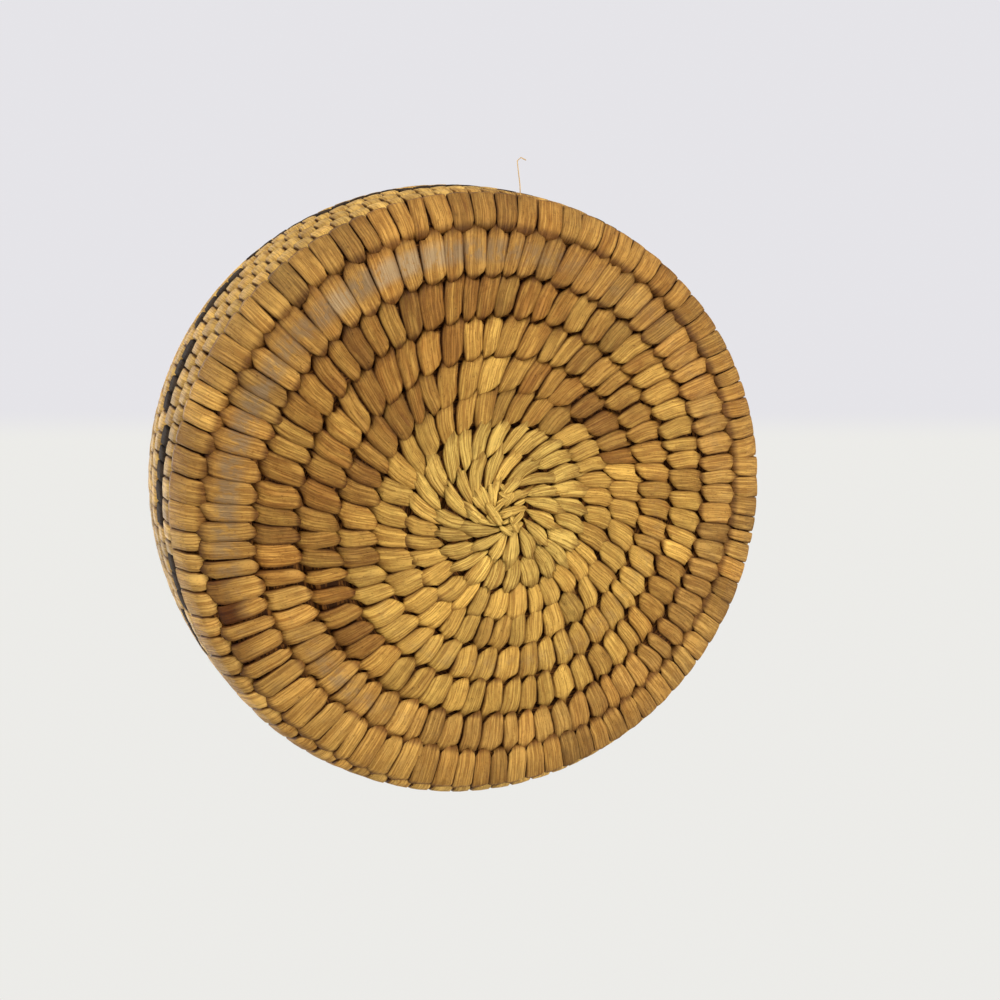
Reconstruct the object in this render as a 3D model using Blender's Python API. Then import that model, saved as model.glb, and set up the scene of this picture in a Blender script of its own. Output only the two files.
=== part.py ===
"""Coiled basket bowl, about 160 mm across and 75 mm high, standing on the worn round of its base.

One bundle of grass stems winds from a knot at the centre of the base to the rim. Strips of leaf are
sewn over it, stitch beside stitch, and hold each round to the one before. They are modelled as covers
round the bundle, each one a stretch of work in strips of one colour. On the wall, short dark covers
step up and down from round to round and make a zigzag.

Metres, +Z up. The origin is under the middle of the base, on the surface that the bowl stands on.
Seen from above, the coil winds clockwise as it grows. A place on it is given in turns from the centre.
"""

import math

import bmesh
import bpy
import numpy as np
from mathutils import Vector

MM = 0.001

# The coil: how wide its rounds are, and how many there are above the corner round
FIRST_PITCH = 6.0 * MM
PITCH_GROWTH = 0.4 * MM
WALL_PITCH = 8.0 * MM
COIL_START = 0.5
WALL_TURNS = 8.4
COIL_THICKNESS = 6.8 * MM

# The bowl's outline, which the middle of the coil follows
FOOT_RADIUS = 59.0 * MM
DOME_RISE = 2.2 * MM
CORNER_LENGTH = 13.2 * MM
WALL_FOOT_ANGLE = math.radians(74.0)
WALL_RIM_ANGLE = math.radians(105.0)
WALL_BEND_POWER = 2.3
FOOT_FLAT = 0.6 * MM

# The rim's thinned end
RIM_END_STATIONS = 6
RIM_END_WIDTH = 3.4 * MM
RIM_END_THICKNESS = 4.4 * MM

# Stitching and knot
STITCH_THICKNESS = 1.2 * MM
KNOT_RADIUS = 1.6 * MM
KNOT_SWELL = 0.5 * MM

# Clearances
ROUND_GAP = 0.5 * MM
FIT_GAP = 0.3 * MM

# The dark zigzag: blocks of one step each, from the lowest round up and down again
ZIGZAG_REPEATS = 3
ZIGZAG_STEPS = 8
WHOLE_TURN_AZIMUTH = math.radians(247.5)

# Facets
STATIONS = ZIGZAG_REPEATS * ZIGZAG_STEPS
INNER_STATIONS = STATIONS // 2
INNER_TURNS = 3
COVER_SIDES = 8
BORE_SIDES = 6
PROFILE_STEP = 0.1 * MM

# Colours, roughness
NATURAL_CENTRE = (0.52, 0.38, 0.13)
NATURAL_BASE = (0.50, 0.29, 0.09)
NATURAL_WORN = (0.42, 0.29, 0.14)
NATURAL_WALL = (0.62, 0.41, 0.15)
DARK_STRIP = (0.035, 0.025, 0.020)
GRASS = (0.22, 0.11, 0.045)
STRIP_ROUGHNESS = 0.5
GRASS_ROUGHNESS = 0.8


def growing_length(turn):
    """Distance from the centre along the outline, where the pitch still grows with each turn."""
    return FIRST_PITCH * turn + 0.5 * PITCH_GROWTH * turn * turn


def turn_at_growing_length(length):
    root = math.sqrt(FIRST_PITCH**2 + 2.0 * PITCH_GROWTH * length)
    return 2.0 * length / (FIRST_PITCH + root)


BASE_LENGTH = FOOT_RADIUS + CORNER_LENGTH
BASE_TURNS = turn_at_growing_length(BASE_LENGTH)
CORNER_TURN = round(BASE_TURNS)
LOWEST_DARK_TURN = CORNER_TURN + 1
RIM_TURN = round((CORNER_TURN + WALL_TURNS) * STATIONS) / STATIONS
RIM_END_TURNS = RIM_END_STATIONS / STATIONS
WALL_LENGTH = WALL_PITCH * (RIM_TURN - BASE_TURNS)


def outline_length(turn):
    """Distance from the centre along the outline to the middle of the coil at this turn."""
    if turn < BASE_TURNS:
        return growing_length(max(turn, 0.0))
    return BASE_LENGTH + WALL_PITCH * (turn - BASE_TURNS)


class Outline:
    """The bowl's outline from the centre of the base to past the rim, by distance along it."""

    def __init__(self):
        end = outline_length(RIM_TURN + 1.0)
        self.length = np.arange(0.0, end, PROFILE_STEP)
        foot_angle = -math.atan(2.0 * DOME_RISE / FOOT_RADIUS)
        dome = foot_angle * self.length / FOOT_RADIUS
        bend = (self.length - FOOT_RADIUS) / CORNER_LENGTH
        corner = foot_angle + (WALL_FOOT_ANGLE - foot_angle) * bend
        wall_share = (self.length - BASE_LENGTH) / WALL_LENGTH
        wall_bend = np.maximum(wall_share, 0.0) ** WALL_BEND_POWER
        wall = WALL_FOOT_ANGLE + (WALL_RIM_ANGLE - WALL_FOOT_ANGLE) * wall_bend
        self.angle = np.where(self.length < FOOT_RADIUS, dome, corner)
        self.angle = np.where(self.length < BASE_LENGTH, self.angle, wall)
        self.radius = self.total(np.cos(self.angle))
        height = self.total(np.sin(self.angle))
        lowest = (height - 0.5 * COIL_THICKNESS * np.cos(self.angle)).min()
        self.height = height - lowest - FOOT_FLAT

    @staticmethod
    def total(rate):
        """Running sum of a rate along the outline, by the trapezium rule."""
        steps = 0.5 * (rate[1:] + rate[:-1]) * PROFILE_STEP
        return np.concatenate([[0.0], np.cumsum(steps)])

    def at(self, length):
        """(radius, height, angle) there."""
        curves = (self.radius, self.height, self.angle)
        return tuple(float(np.interp(length, self.length, curve)) for curve in curves)


OUTLINE = Outline()


def rim_taper(turn):
    """0 on the full coil, 1 at the end of the rim."""
    return min(max((turn - RIM_TURN + RIM_END_TURNS) / RIM_END_TURNS, 0.0), 1.0)


def coil_section(turn):
    """(middle, half width, half thickness) of the covered coil. The middle is a distance along the outline."""
    inner = max(outline_length(turn - 0.5) + 0.5 * ROUND_GAP, KNOT_RADIUS + FIT_GAP)
    outer = outline_length(turn + 0.5) - 0.5 * ROUND_GAP
    taper = rim_taper(turn)
    width = (1.0 - taper) * (outer - inner) + taper * RIM_END_WIDTH
    thickness = (1.0 - taper) * COIL_THICKNESS + taper * RIM_END_THICKNESS
    return inner + 0.5 * width, 0.5 * width, 0.5 * thickness


def azimuth_of(turn):
    return WHOLE_TURN_AZIMUTH - math.tau * turn


def section_ring(turn, inset, sides):
    """Points of a section of the coil, this far inside its surface.

    The section bends with the outline, so that its sides lie along those of the rounds beside it.
    """
    middle, half_width, half_thickness = coil_section(turn)
    azimuth = azimuth_of(turn)
    flat = math.cos(math.pi / sides)
    flat_beside = sides % 4 == 0
    width = (half_width - inset) / (flat if flat_beside else 1.0)
    thickness = (half_thickness - inset) / flat
    first = math.pi / sides if flat_beside else 0.0
    ring = []
    for side in range(sides):
        corner = first + math.tau * side / sides
        radius, height, angle = OUTLINE.at(middle + width * math.cos(corner))
        outward = thickness * math.sin(corner)
        radius += outward * math.sin(angle)
        height = max(height - outward * math.cos(angle), 0.0)
        ring.append(Vector((radius * math.cos(azimuth), radius * math.sin(azimuth), height)))
    return ring


def stations(start, end):
    """Turns at which sections stand: both ends, and a fixed grid of turns between them."""
    turns = [start]
    step = 1.0 / INNER_STATIONS if start < INNER_TURNS else 1.0 / STATIONS
    count = math.floor(start / step + 1e-6) + 1
    while count * step < end - 1e-6:
        turns.append(count * step)
        if count * step >= INNER_TURNS - 1e-6 and step > 1.0 / STATIONS:
            count = round(count * step * STATIONS)
            step = 1.0 / STATIONS
        count += 1
    turns.append(end)
    return turns


def loft(bm, rings):
    """Walls between one closed ring of vertices and the next."""
    for ring, following in zip(rings[:-1], rings[1:]):
        for side in range(len(ring)):
            beside = (side + 1) % len(ring)
            bm.faces.new((ring[side], ring[beside], following[beside], following[side]))


def ring_end(bm, outer, inner):
    """Flat end of a tube: triangles from the ring of its outside to the ring of its bore."""
    i, j = 0, 0
    while i < len(outer) or j < len(inner):
        here, hole = outer[i % len(outer)], inner[j % len(inner)]
        if (i + 1) / len(outer) <= (j + 1) / len(inner):
            bm.faces.new((here, outer[(i + 1) % len(outer)], hole))
            i += 1
        else:
            bm.faces.new((here, inner[(j + 1) % len(inner)], hole))
            j += 1


def add_rings(bm, turns, inset, sides):
    return [[bm.verts.new(point) for point in section_ring(turn, inset, sides)] for turn in turns]


def add_object(name, bm, colour, roughness):
    """Makes the finished mesh an object with its own material."""
    bmesh.ops.triangulate(bm, faces=bm.faces[:])
    bmesh.ops.recalc_face_normals(bm, faces=bm.faces[:])
    mesh = bpy.data.meshes.new(name)
    bm.to_mesh(mesh)
    bm.free()
    mesh.shade_smooth()
    mesh.set_sharp_from_angle(angle=math.radians(50.0))
    material = bpy.data.materials.new(name)
    material.use_nodes = True
    shader = material.node_tree.nodes["Principled BSDF"]
    shader.inputs["Base Color"].default_value = (*colour, 1.0)
    shader.inputs["Roughness"].default_value = roughness
    shader.inputs["Metallic"].default_value = 0.0
    mesh.materials.append(material)
    obj = bpy.data.objects.new(name, mesh)
    bpy.context.scene.collection.objects.link(obj)
    return obj


def turn_trim(turn):
    """Half the gap between two covers that meet end to end here, as a share of a turn."""
    radius, _, _ = OUTLINE.at(coil_section(turn)[0])
    return 0.5 * FIT_GAP / (math.tau * radius)


def make_foundation():
    """The one unbroken bundle of grass, inside all the covers."""
    inset = STITCH_THICKNESS + FIT_GAP
    bm = bmesh.new()
    rings = add_rings(bm, stations(COIL_START, RIM_TURN), inset, BORE_SIDES)
    loft(bm, rings)
    bm.faces.new(rings[0])
    bm.faces.new(rings[-1])
    return add_object("foundation_coil", bm, GRASS, GRASS_ROUGHNESS)


def make_cover(name, start, end, colour):
    """Stitches over one stretch of the coil: a tube with a bore for the bundle, open at both ends."""
    first = start + (turn_trim(start) if start > COIL_START else 0.0)
    last = end - (turn_trim(end) if end < RIM_TURN else 0.0)
    turns = stations(start, end)
    turns[0], turns[-1] = first, last
    bm = bmesh.new()
    outside = add_rings(bm, turns, 0.0, COVER_SIDES)
    bore = add_rings(bm, turns, STITCH_THICKNESS, BORE_SIDES)
    loft(bm, outside)
    loft(bm, bore)
    ring_end(bm, outside[0], bore[0])
    ring_end(bm, outside[-1], bore[-1])
    return add_object(name, bm, colour, STRIP_ROUGHNESS)


def make_knot():
    """The tied start, which fills the curl that the first turn leaves at the centre."""
    _, _, half_thickness = coil_section(COIL_START)
    centre_height = OUTLINE.at(0.0)[1]
    levels = ((-1.0, 0.55), (-0.8, 0.85), (0.0, 1.0), (0.8, 0.85), (1.0, 0.55))
    outline = []
    for station in range(INNER_STATIONS + 1):
        turn = COIL_START + station / INNER_STATIONS
        middle, half_width, _ = coil_section(turn)
        reach = middle - half_width - FIT_GAP
        azimuth = azimuth_of(turn)
        if station == INNER_STATIONS:
            azimuth += 2.0 * FIT_GAP / reach
        outline.append((reach, azimuth))
    bm = bmesh.new()
    rings = []
    for level, share in levels:
        height = centre_height + level * (half_thickness + KNOT_SWELL)
        ring = []
        for reach, azimuth in outline:
            x = share * reach * math.cos(azimuth)
            y = share * reach * math.sin(azimuth)
            ring.append(bm.verts.new((x, y, height)))
        rings.append(ring)
    loft(bm, rings)
    bm.faces.new(rings[0])
    bm.faces.new(rings[-1])
    return add_object("start_knot", bm, NATURAL_CENTRE, STRIP_ROUGHNESS)


def dark_stretches():
    """(start, end) in turns of each dark block, in the order in which the coil reaches them.

    Each step round the bowl has one block. It lies on the lowest dark round at each repeat's low point,
    and a round higher for each step from there. Blocks that meet end to end become one.
    """
    blocks = []
    for step in range(-STATIONS // 2, STATIONS // 2):
        away = min(step % ZIGZAG_STEPS, -step % ZIGZAG_STEPS)
        place = (LOWEST_DARK_TURN + away) * STATIONS + step
        blocks.append([place, place + 1])
    blocks.sort()
    merged = [blocks[0]]
    for block in blocks[1:]:
        if block[0] <= merged[-1][1]:
            merged[-1][1] = block[1]
        else:
            merged.append(block)
    stretches = [(start / STATIONS, end / STATIONS) for start, end in merged]
    return [stretch for stretch in stretches if stretch[1] < RIM_TURN - 1.0 - RIM_END_TURNS]


def plain_stretches(dark):
    """(name, start, end, colour) of each cover in strips of the natural colour."""
    rim_start = RIM_TURN - 1.0 - RIM_END_TURNS
    rim_thins = RIM_TURN - RIM_END_TURNS
    outer_start = CORNER_TURN - 4
    stretches = [
        ("centre_stitches", COIL_START, INNER_TURNS, NATURAL_CENTRE),
        ("inner_base_stitches", INNER_TURNS, outer_start, NATURAL_BASE),
        ("outer_base_stitches", outer_start, CORNER_TURN - 2, NATURAL_BASE),
        ("resting_round_stitches", CORNER_TURN - 2, CORNER_TURN - 1, NATURAL_WORN),
        ("corner_round_stitches", CORNER_TURN - 1, CORNER_TURN, NATURAL_WORN),
        ("lower_wall_stitches", CORNER_TURN, dark[0][0], NATURAL_WALL),
    ]
    for number, (block, following) in enumerate(zip(dark[:-1], dark[1:]), start=1):
        stretches.append((f"light_stitches_{number:02d}", block[1], following[0], NATURAL_WALL))
    upper_middle = 0.5 * (dark[-1][1] + rim_start)
    upper_middle = round(upper_middle * STATIONS) / STATIONS
    stretches += [
        ("upper_wall_stitches_1", dark[-1][1], upper_middle, NATURAL_WALL),
        ("upper_wall_stitches_2", upper_middle, rim_start, NATURAL_WALL),
        ("rim_stitches", rim_start, rim_thins, NATURAL_WALL),
        ("rim_end_stitches", rim_thins, RIM_TURN, NATURAL_WALL),
    ]
    return stretches


def least_gap_to_itself(inset, sides):
    """Least distance between points of the coil's surface that are at least half a turn apart on it."""
    turns = stations(COIL_START, RIM_TURN)
    rings = np.array([section_ring(turn, inset, sides) for turn in turns])
    least = math.inf
    for index, turn in enumerate(turns):
        near = [i for i, other in enumerate(turns) if 0.5 <= other - turn <= 1.5]
        if near:
            others = rings[near].reshape(-1, 3)
            apart = np.linalg.norm(rings[index][:, None, :] - others[None, :, :], axis=2)
            least = min(least, float(apart.min()))
    return least


def main():
    for obj in list(bpy.data.objects):
        bpy.data.objects.remove(obj, do_unlink=True)
    make_knot()
    make_foundation()
    dark = dark_stretches()
    for name, start, end, colour in plain_stretches(dark):
        make_cover(name, start, end, colour)
    for number, (start, end) in enumerate(dark, start=1):
        make_cover(f"dark_stitches_{number:02d}", start, end, DARK_STRIP)
    bundle_gap = least_gap_to_itself(STITCH_THICKNESS + FIT_GAP, BORE_SIDES)
    cover_gap = least_gap_to_itself(0.0, COVER_SIDES)
    print(f"base turns {BASE_TURNS:.2f}, rim at turn {RIM_TURN:.2f}")
    print(f"least gap of the bundle to itself {bundle_gap / MM:.2f} mm, of the covers {cover_gap / MM:.2f} mm")


main()
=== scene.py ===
"""Looks of the coiled basket bowl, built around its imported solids.

Every strip of leaf that is sewn over the coil is made on its own: one Geometry Nodes tree wraps a
plump strip round the coil at each place that the sewing plan gives. A second tree makes the bundle of
grass stems that the strips cover. The coil's path follows the same sizes as the solids do.

Metres, +Z up. A place on the coil is given in turns from the centre. Across a section of the coil, x
runs outwards along the bowl's outline and y runs out of the bowl's outer face.
"""

import logging
import math
from dataclasses import asdict, dataclass
from enum import Enum
from typing import Any, Iterable

import bpy
import numpy as np
from mathutils import Matrix, Vector


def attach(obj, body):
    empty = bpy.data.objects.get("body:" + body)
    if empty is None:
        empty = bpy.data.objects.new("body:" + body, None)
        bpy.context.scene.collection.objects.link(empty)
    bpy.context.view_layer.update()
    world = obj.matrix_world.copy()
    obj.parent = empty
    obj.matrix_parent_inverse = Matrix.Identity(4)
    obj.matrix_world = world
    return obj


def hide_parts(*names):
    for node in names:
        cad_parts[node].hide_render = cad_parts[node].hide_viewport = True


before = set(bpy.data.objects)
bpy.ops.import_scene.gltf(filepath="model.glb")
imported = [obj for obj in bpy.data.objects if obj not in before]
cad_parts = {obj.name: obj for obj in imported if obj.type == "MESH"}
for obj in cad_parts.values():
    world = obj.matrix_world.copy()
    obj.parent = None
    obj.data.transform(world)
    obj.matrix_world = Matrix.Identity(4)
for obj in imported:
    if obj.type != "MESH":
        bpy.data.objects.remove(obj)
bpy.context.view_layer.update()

LOG = logging.getLogger("coiled_basket_bowl")
MM = 0.001
BODY = "root"

Colour = tuple[float, float, float]


# Node trees


class Field:
    """A value in a node tree, which plain arithmetic joins to other values."""

    def __init__(self, graph: "Graph", socket: Any) -> None:
        """Keeps the graph and the socket that gives the value."""
        self.graph = graph
        self.socket = socket

    def __add__(self, other: Any) -> "Field":
        """This value and another together."""
        return self.graph.math("ADD", self, other)

    def __sub__(self, other: Any) -> "Field":
        """This value less another."""
        return self.graph.math("SUBTRACT", self, other)

    def __rsub__(self, other: Any) -> "Field":
        """Another value less this one."""
        return self.graph.math("SUBTRACT", other, self)

    def __mul__(self, other: Any) -> "Field":
        """This value times another."""
        return self.graph.math("MULTIPLY", self, other)

    def __truediv__(self, other: Any) -> "Field":
        """This value divided by another."""
        return self.graph.math("DIVIDE", self, other)

    def __neg__(self) -> "Field":
        """This value with its sign turned."""
        return self.graph.math("MULTIPLY", self, -1.0)

    __radd__ = __add__


def by_identifier(sockets: Any) -> dict[str, bpy.types.NodeSocket]:
    """A node's sockets by identifier, for nodes on which a name stands more than once."""
    return {socket.identifier: socket for socket in sockets}


class Graph:
    """A node tree and short calls for the nodes that the pieces and finishes use."""

    def __init__(self, tree: bpy.types.NodeTree) -> None:
        """Keeps the tree."""
        self.tree = tree

    def put(self, socket: bpy.types.NodeSocket, value: Any) -> None:
        """Links a value to an input, or writes it there when it is plain.

        Args:
            socket: the input.
            value: a field, a node's output or a plain value.
        """
        if isinstance(value, Field):
            self.tree.links.new(value.socket, socket)
        elif isinstance(value, bpy.types.NodeSocket):
            self.tree.links.new(value, socket)
        else:
            socket.default_value = value

    def node(self, kind: str, *first: Any, inputs: dict[str, Any] | None = None, **settings: Any) -> Any:
        """Adds a node.

        Args:
            kind: Blender's name of the node's type.
            first: values for its first inputs, in order.
            inputs: values for other inputs, by name.
            settings: properties to set on the node.

        Returns:
            The new node.
        """
        made = self.tree.nodes.new(kind)
        for name, value in settings.items():
            setattr(made, name, value)
        for socket, value in zip(made.inputs, first):
            self.put(socket, value)
        for name, value in (inputs or {}).items():
            self.put(made.inputs[name], value)
        return made

    def field(self, kind: str, *first: Any, output: int | str = 0, **rest: Any) -> Field:
        """Adds a node as node() does, and gives one of its outputs."""
        return Field(self, self.node(kind, *first, **rest).outputs[output])

    def math(self, operation: str, *values: Any, clamp: bool = False) -> Field:
        """Joins numbers by an operation of the Math node, held between 0 and 1 where clamp is set."""
        return self.field("ShaderNodeMath", *values, operation=operation, use_clamp=clamp)

    def vector_math(self, operation: str, *vectors: Any) -> Field:
        """Joins vectors by an operation of the Vector Math node, to a vector or a number."""
        output = "Value" if operation in ("LENGTH", "DOT_PRODUCT") else "Vector"
        return self.field("ShaderNodeVectorMath", *vectors, operation=operation, output=output)

    def scaled(self, vector: Any, factor: Any) -> Field:
        """A vector times a number."""
        return self.field("ShaderNodeVectorMath", vector, inputs={"Scale": factor}, operation="SCALE")

    def ramp(self, value: Any, low: Any, high: Any, kind: str = "SMOOTHSTEP") -> Field:
        """A value's share of the way from low to high, held between 0 and 1."""
        return self.field("ShaderNodeMapRange", value, low, high, interpolation_type=kind)

    def power(self, value: Field, exponent: Any) -> Field:
        """A number's power that keeps the number's sign."""
        size = self.math("POWER", self.math("ABSOLUTE", value), exponent)
        return size * self.math("SIGN", value)

    def vector(self, x: Any, y: Any, z: Any) -> Field:
        """A vector from its three parts."""
        return self.field("ShaderNodeCombineXYZ", x, y, z)

    def parts(self, vector: Any) -> tuple[Field, ...]:
        """The three parts of a vector."""
        return tuple(Field(self, socket) for socket in self.node("ShaderNodeSeparateXYZ", vector).outputs)

    def from_axis(self, place: Any) -> Field:
        """How far a place is from the bowl's upright axis."""
        return self.vector_math("LENGTH", self.vector_math("MULTIPLY", place, (1.0, 1.0, 0.0)))

    def mix_colour(self, share: Any, first: Any, second: Any) -> Field:
        """Mixes two colours.

        Args:
            share: how much of the second colour there is.
            first: the colour at 0.
            second: the colour at 1.

        Returns:
            The mixed colour.
        """
        made = self.node("ShaderNodeMix", data_type="RGBA")
        inputs = by_identifier(made.inputs)
        self.put(inputs["Factor_Float"], share)
        for name, colour in (("A_Color", first), ("B_Color", second)):
            self.put(inputs[name], (*colour, 1.0) if isinstance(colour, tuple) else colour)
        return Field(self, by_identifier(made.outputs)["Result_Color"])

    def darkened(self, share: Any, colour: Field, factor: Colour) -> Field:
        """A colour that goes towards its product with a factor as the share grows to 1."""
        return self.mix_colour(share, colour, self.vector_math("MULTIPLY", colour, factor))

    def attribute(self, name: str, output: str = "Vector") -> Field:
        """An attribute of the mesh, by name, in a material."""
        return self.field("ShaderNodeAttribute", attribute_name=name, output=output)

    def named(self, name: str, kind: str = "FLOAT") -> Field:
        """An attribute of the mesh, by name, in a Geometry Nodes tree."""
        return self.field("GeometryNodeInputNamedAttribute", name, data_type=kind, output="Attribute")

    def chance(self, seed: Any) -> Field:
        """A random number for each point.

        Args:
            seed: the number's seed.

        Returns:
            The number, between -1 and 1.
        """
        made = self.node("FunctionNodeRandomValue", data_type="FLOAT")
        inputs = by_identifier(made.inputs)
        for name, value in (("Min_001", -1.0), ("Max_001", 1.0), ("Seed", seed)):
            self.put(inputs[name], value)
        return Field(self, by_identifier(made.outputs)["Value_001"])

    def bump(self, height: Any, strength: float, distance: float) -> Field:
        """The normal of a surface with bumps of this height."""
        given = {"Strength": strength, "Distance": distance, "Height": height}
        return self.field("ShaderNodeBump", inputs=given)

    def principled(self, values: dict[str, Any]) -> None:
        """Gives a material's surface its inputs, by name."""
        for name, value in values.items():
            self.put(self.tree.nodes["Principled BSDF"].inputs[name], value)

    def end(self, output: str, *mixed: Any) -> None:
        """Ends a shader tree: the named output node shows (share, shader at 0, shader at 1)."""
        self.put(self.tree.nodes[output].inputs["Surface"], self.field("ShaderNodeMixShader", *mixed))


# The coil's path


@dataclass(frozen=True)
class CoilSizes:
    """The bowl's sizes, the same as in its solids."""

    first_pitch: float = 6.0 * MM
    pitch_growth: float = 0.4 * MM
    wall_pitch: float = 8.0 * MM
    start_turn: float = 0.5
    wall_turns: float = 8.4
    thickness: float = 6.8 * MM
    foot_radius: float = 59.0 * MM
    dome_rise: float = 2.2 * MM
    corner_length: float = 13.2 * MM
    wall_foot_angle: float = math.radians(74.0)
    wall_rim_angle: float = math.radians(105.0)
    wall_bend_power: float = 2.3
    foot_flat: float = 0.6 * MM
    rim_end_stations: int = 6
    rim_end_width: float = 3.4 * MM
    rim_end_thickness: float = 4.4 * MM
    knot_radius: float = 1.6 * MM
    round_gap: float = 0.5 * MM
    fit_gap: float = 0.3 * MM
    stations: int = 24
    zigzag_steps: int = 8
    whole_turn_azimuth: float = math.radians(247.5)
    outline_step: float = 0.1 * MM

    @property
    def base_length(self) -> float:
        """Length of the outline from the centre to the top of the corner."""
        return self.foot_radius + self.corner_length

    @property
    def base_turns(self) -> float:
        """Turns of the coil in the base and the corner."""
        root = math.sqrt(self.first_pitch**2 + 2.0 * self.pitch_growth * self.base_length)
        return 2.0 * self.base_length / (self.first_pitch + root)

    @property
    def corner_turn(self) -> int:
        """The turn at which the corner round ends."""
        return round(self.base_turns)

    @property
    def rim_turn(self) -> float:
        """The turn at which the coil ends."""
        return round((self.corner_turn + self.wall_turns) * self.stations) / self.stations

    @property
    def wall_length(self) -> float:
        """Length of the outline from the top of the corner to the rim."""
        return self.wall_pitch * (self.rim_turn - self.base_turns)

    @property
    def rim_end_turns(self) -> float:
        """Turns over which the coil thins at the rim."""
        return self.rim_end_stations / self.stations


@dataclass
class Stations:
    """Sections of the coil, one for each row of the arrays."""

    centre: np.ndarray
    across: np.ndarray
    outward: np.ndarray
    half_width: np.ndarray
    half_thickness: np.ndarray
    bend_in: np.ndarray
    bend_out: np.ndarray

    def columns(self) -> dict[str, np.ndarray]:
        """The arrays by the names that the node trees read."""
        return dict(vars(self))

    @property
    def radius(self) -> np.ndarray:
        """Distance of each section's middle from the bowl's axis."""
        return np.hypot(self.centre[:, 0], self.centre[:, 1])


class CoilPath:
    """The path that the coil follows from the centre of the base to the end of the rim."""

    def __init__(self, sizes: CoilSizes) -> None:
        """Works out the bowl's outline.

        Args:
            sizes: the bowl's sizes.
        """
        self.sizes = sizes
        end = self.outline_length(np.array([sizes.rim_turn + 1.0]))[0]
        self.length = np.arange(0.0, end, sizes.outline_step)
        foot_angle = -math.atan(2.0 * sizes.dome_rise / sizes.foot_radius)
        dome = foot_angle * self.length / sizes.foot_radius
        bend = (self.length - sizes.foot_radius) / sizes.corner_length
        corner = foot_angle + (sizes.wall_foot_angle - foot_angle) * bend
        share = np.maximum((self.length - sizes.base_length) / sizes.wall_length, 0.0)
        wall_turn = sizes.wall_rim_angle - sizes.wall_foot_angle
        wall = sizes.wall_foot_angle + wall_turn * share**sizes.wall_bend_power
        self.angle = np.where(self.length < sizes.foot_radius, dome, corner)
        self.angle = np.where(self.length < sizes.base_length, self.angle, wall)
        self.radius = self._total(np.cos(self.angle))
        height = self._total(np.sin(self.angle))
        lowest = (height - 0.5 * sizes.thickness * np.cos(self.angle)).min()
        self.height = height - lowest - sizes.foot_flat

    def _total(self, rate: np.ndarray) -> np.ndarray:
        """Running sum of a rate along the outline."""
        steps = 0.5 * (rate[1:] + rate[:-1]) * self.sizes.outline_step
        return np.concatenate([[0.0], np.cumsum(steps)])

    def outline_length(self, turns: np.ndarray) -> np.ndarray:
        """Distance along the outline to the middle of the coil.

        Args:
            turns: places on the coil.

        Returns:
            The distance at each place.
        """
        sizes = self.sizes
        held = np.maximum(turns, 0.0)
        growing = sizes.first_pitch * held + 0.5 * sizes.pitch_growth * held**2
        steady = sizes.base_length + sizes.wall_pitch * (turns - sizes.base_turns)
        return np.where(turns < sizes.base_turns, growing, steady)

    def stations(self, turns: np.ndarray) -> Stations:
        """Sections of the covered coil.

        Args:
            turns: where the sections stand.

        Returns:
            Their places, directions, half sizes and how the outline bends on each side.
        """
        sizes = self.sizes
        least = sizes.knot_radius + sizes.fit_gap
        inner = np.maximum(self.outline_length(turns - 0.5) + 0.5 * sizes.round_gap, least)
        outer = self.outline_length(turns + 0.5) - 0.5 * sizes.round_gap
        taper = np.clip((turns - sizes.rim_turn) / sizes.rim_end_turns + 1.0, 0.0, 1.0)
        half_width = 0.5 * ((1.0 - taper) * (outer - inner) + taper * sizes.rim_end_width)
        half_thickness = 0.5 * ((1.0 - taper) * sizes.thickness + taper * sizes.rim_end_thickness)
        middle = inner + half_width
        angle = self.angle_at(middle)
        azimuth = sizes.whole_turn_azimuth - math.tau * turns
        radial = np.stack([np.cos(azimuth), np.sin(azimuth), np.zeros_like(turns)], axis=1)
        up = np.array([0.0, 0.0, 1.0])
        slope, rise = np.cos(angle)[:, None], np.sin(angle)[:, None]
        radius = np.interp(middle, self.length, self.radius)[:, None]
        height = np.interp(middle, self.length, self.height)[:, None]
        return Stations(
            centre=radial * radius + up * height,
            across=radial * slope + up * rise,
            outward=radial * rise - up * slope,
            half_width=half_width,
            half_thickness=half_thickness,
            bend_in=(angle - self.angle_at(middle - half_width)) / half_width,
            bend_out=(self.angle_at(middle + half_width) - angle) / half_width,
        )

    def angle_at(self, length: np.ndarray) -> np.ndarray:
        """The outline's slope at each distance along it."""
        return np.interp(length, self.length, self.angle)

    def point(self, turn: float, x: float, y: float) -> Vector:
        """A point of the coil's section.

        Args:
            turn: where the section stands.
            x: distance across the coil.
            y: distance out of the bowl's outer face.

        Returns:
            The point.
        """
        at = self.stations(np.array([turn]))
        bend = at.bend_out[0] if x > 0.0 else at.bend_in[0]
        sideways = x + y * math.sin(bend * x)
        outwards = y * math.cos(bend * x) - 0.5 * bend * x * x
        return Vector(at.centre[0]) + Vector(at.across[0]) * sideways + Vector(at.outward[0]) * outwards


# The sewing plan


class Work(Enum):
    """A kind of sewn work, by the name of the record's slot for its strips."""

    CENTRE = "centre_strips"
    BASE = "base_strips"
    WORN = "worn_strips"
    WALL = "wall_strips"
    DARK = "dark_strips"


@dataclass(frozen=True)
class Stretch:
    """One stretch of the coil, as its solid has it."""

    node: str
    start: float
    end: float
    work: Work


@dataclass(frozen=True)
class BrownRun:
    """A run of browner strips, from one turn to another."""

    start: float
    end: float
    strength: float


@dataclass(frozen=True)
class Swing:
    """Strips lean farther on one side of the bowl, up to a turn, and less on the other side."""

    degrees: float
    side: float
    last_turn: float


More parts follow.
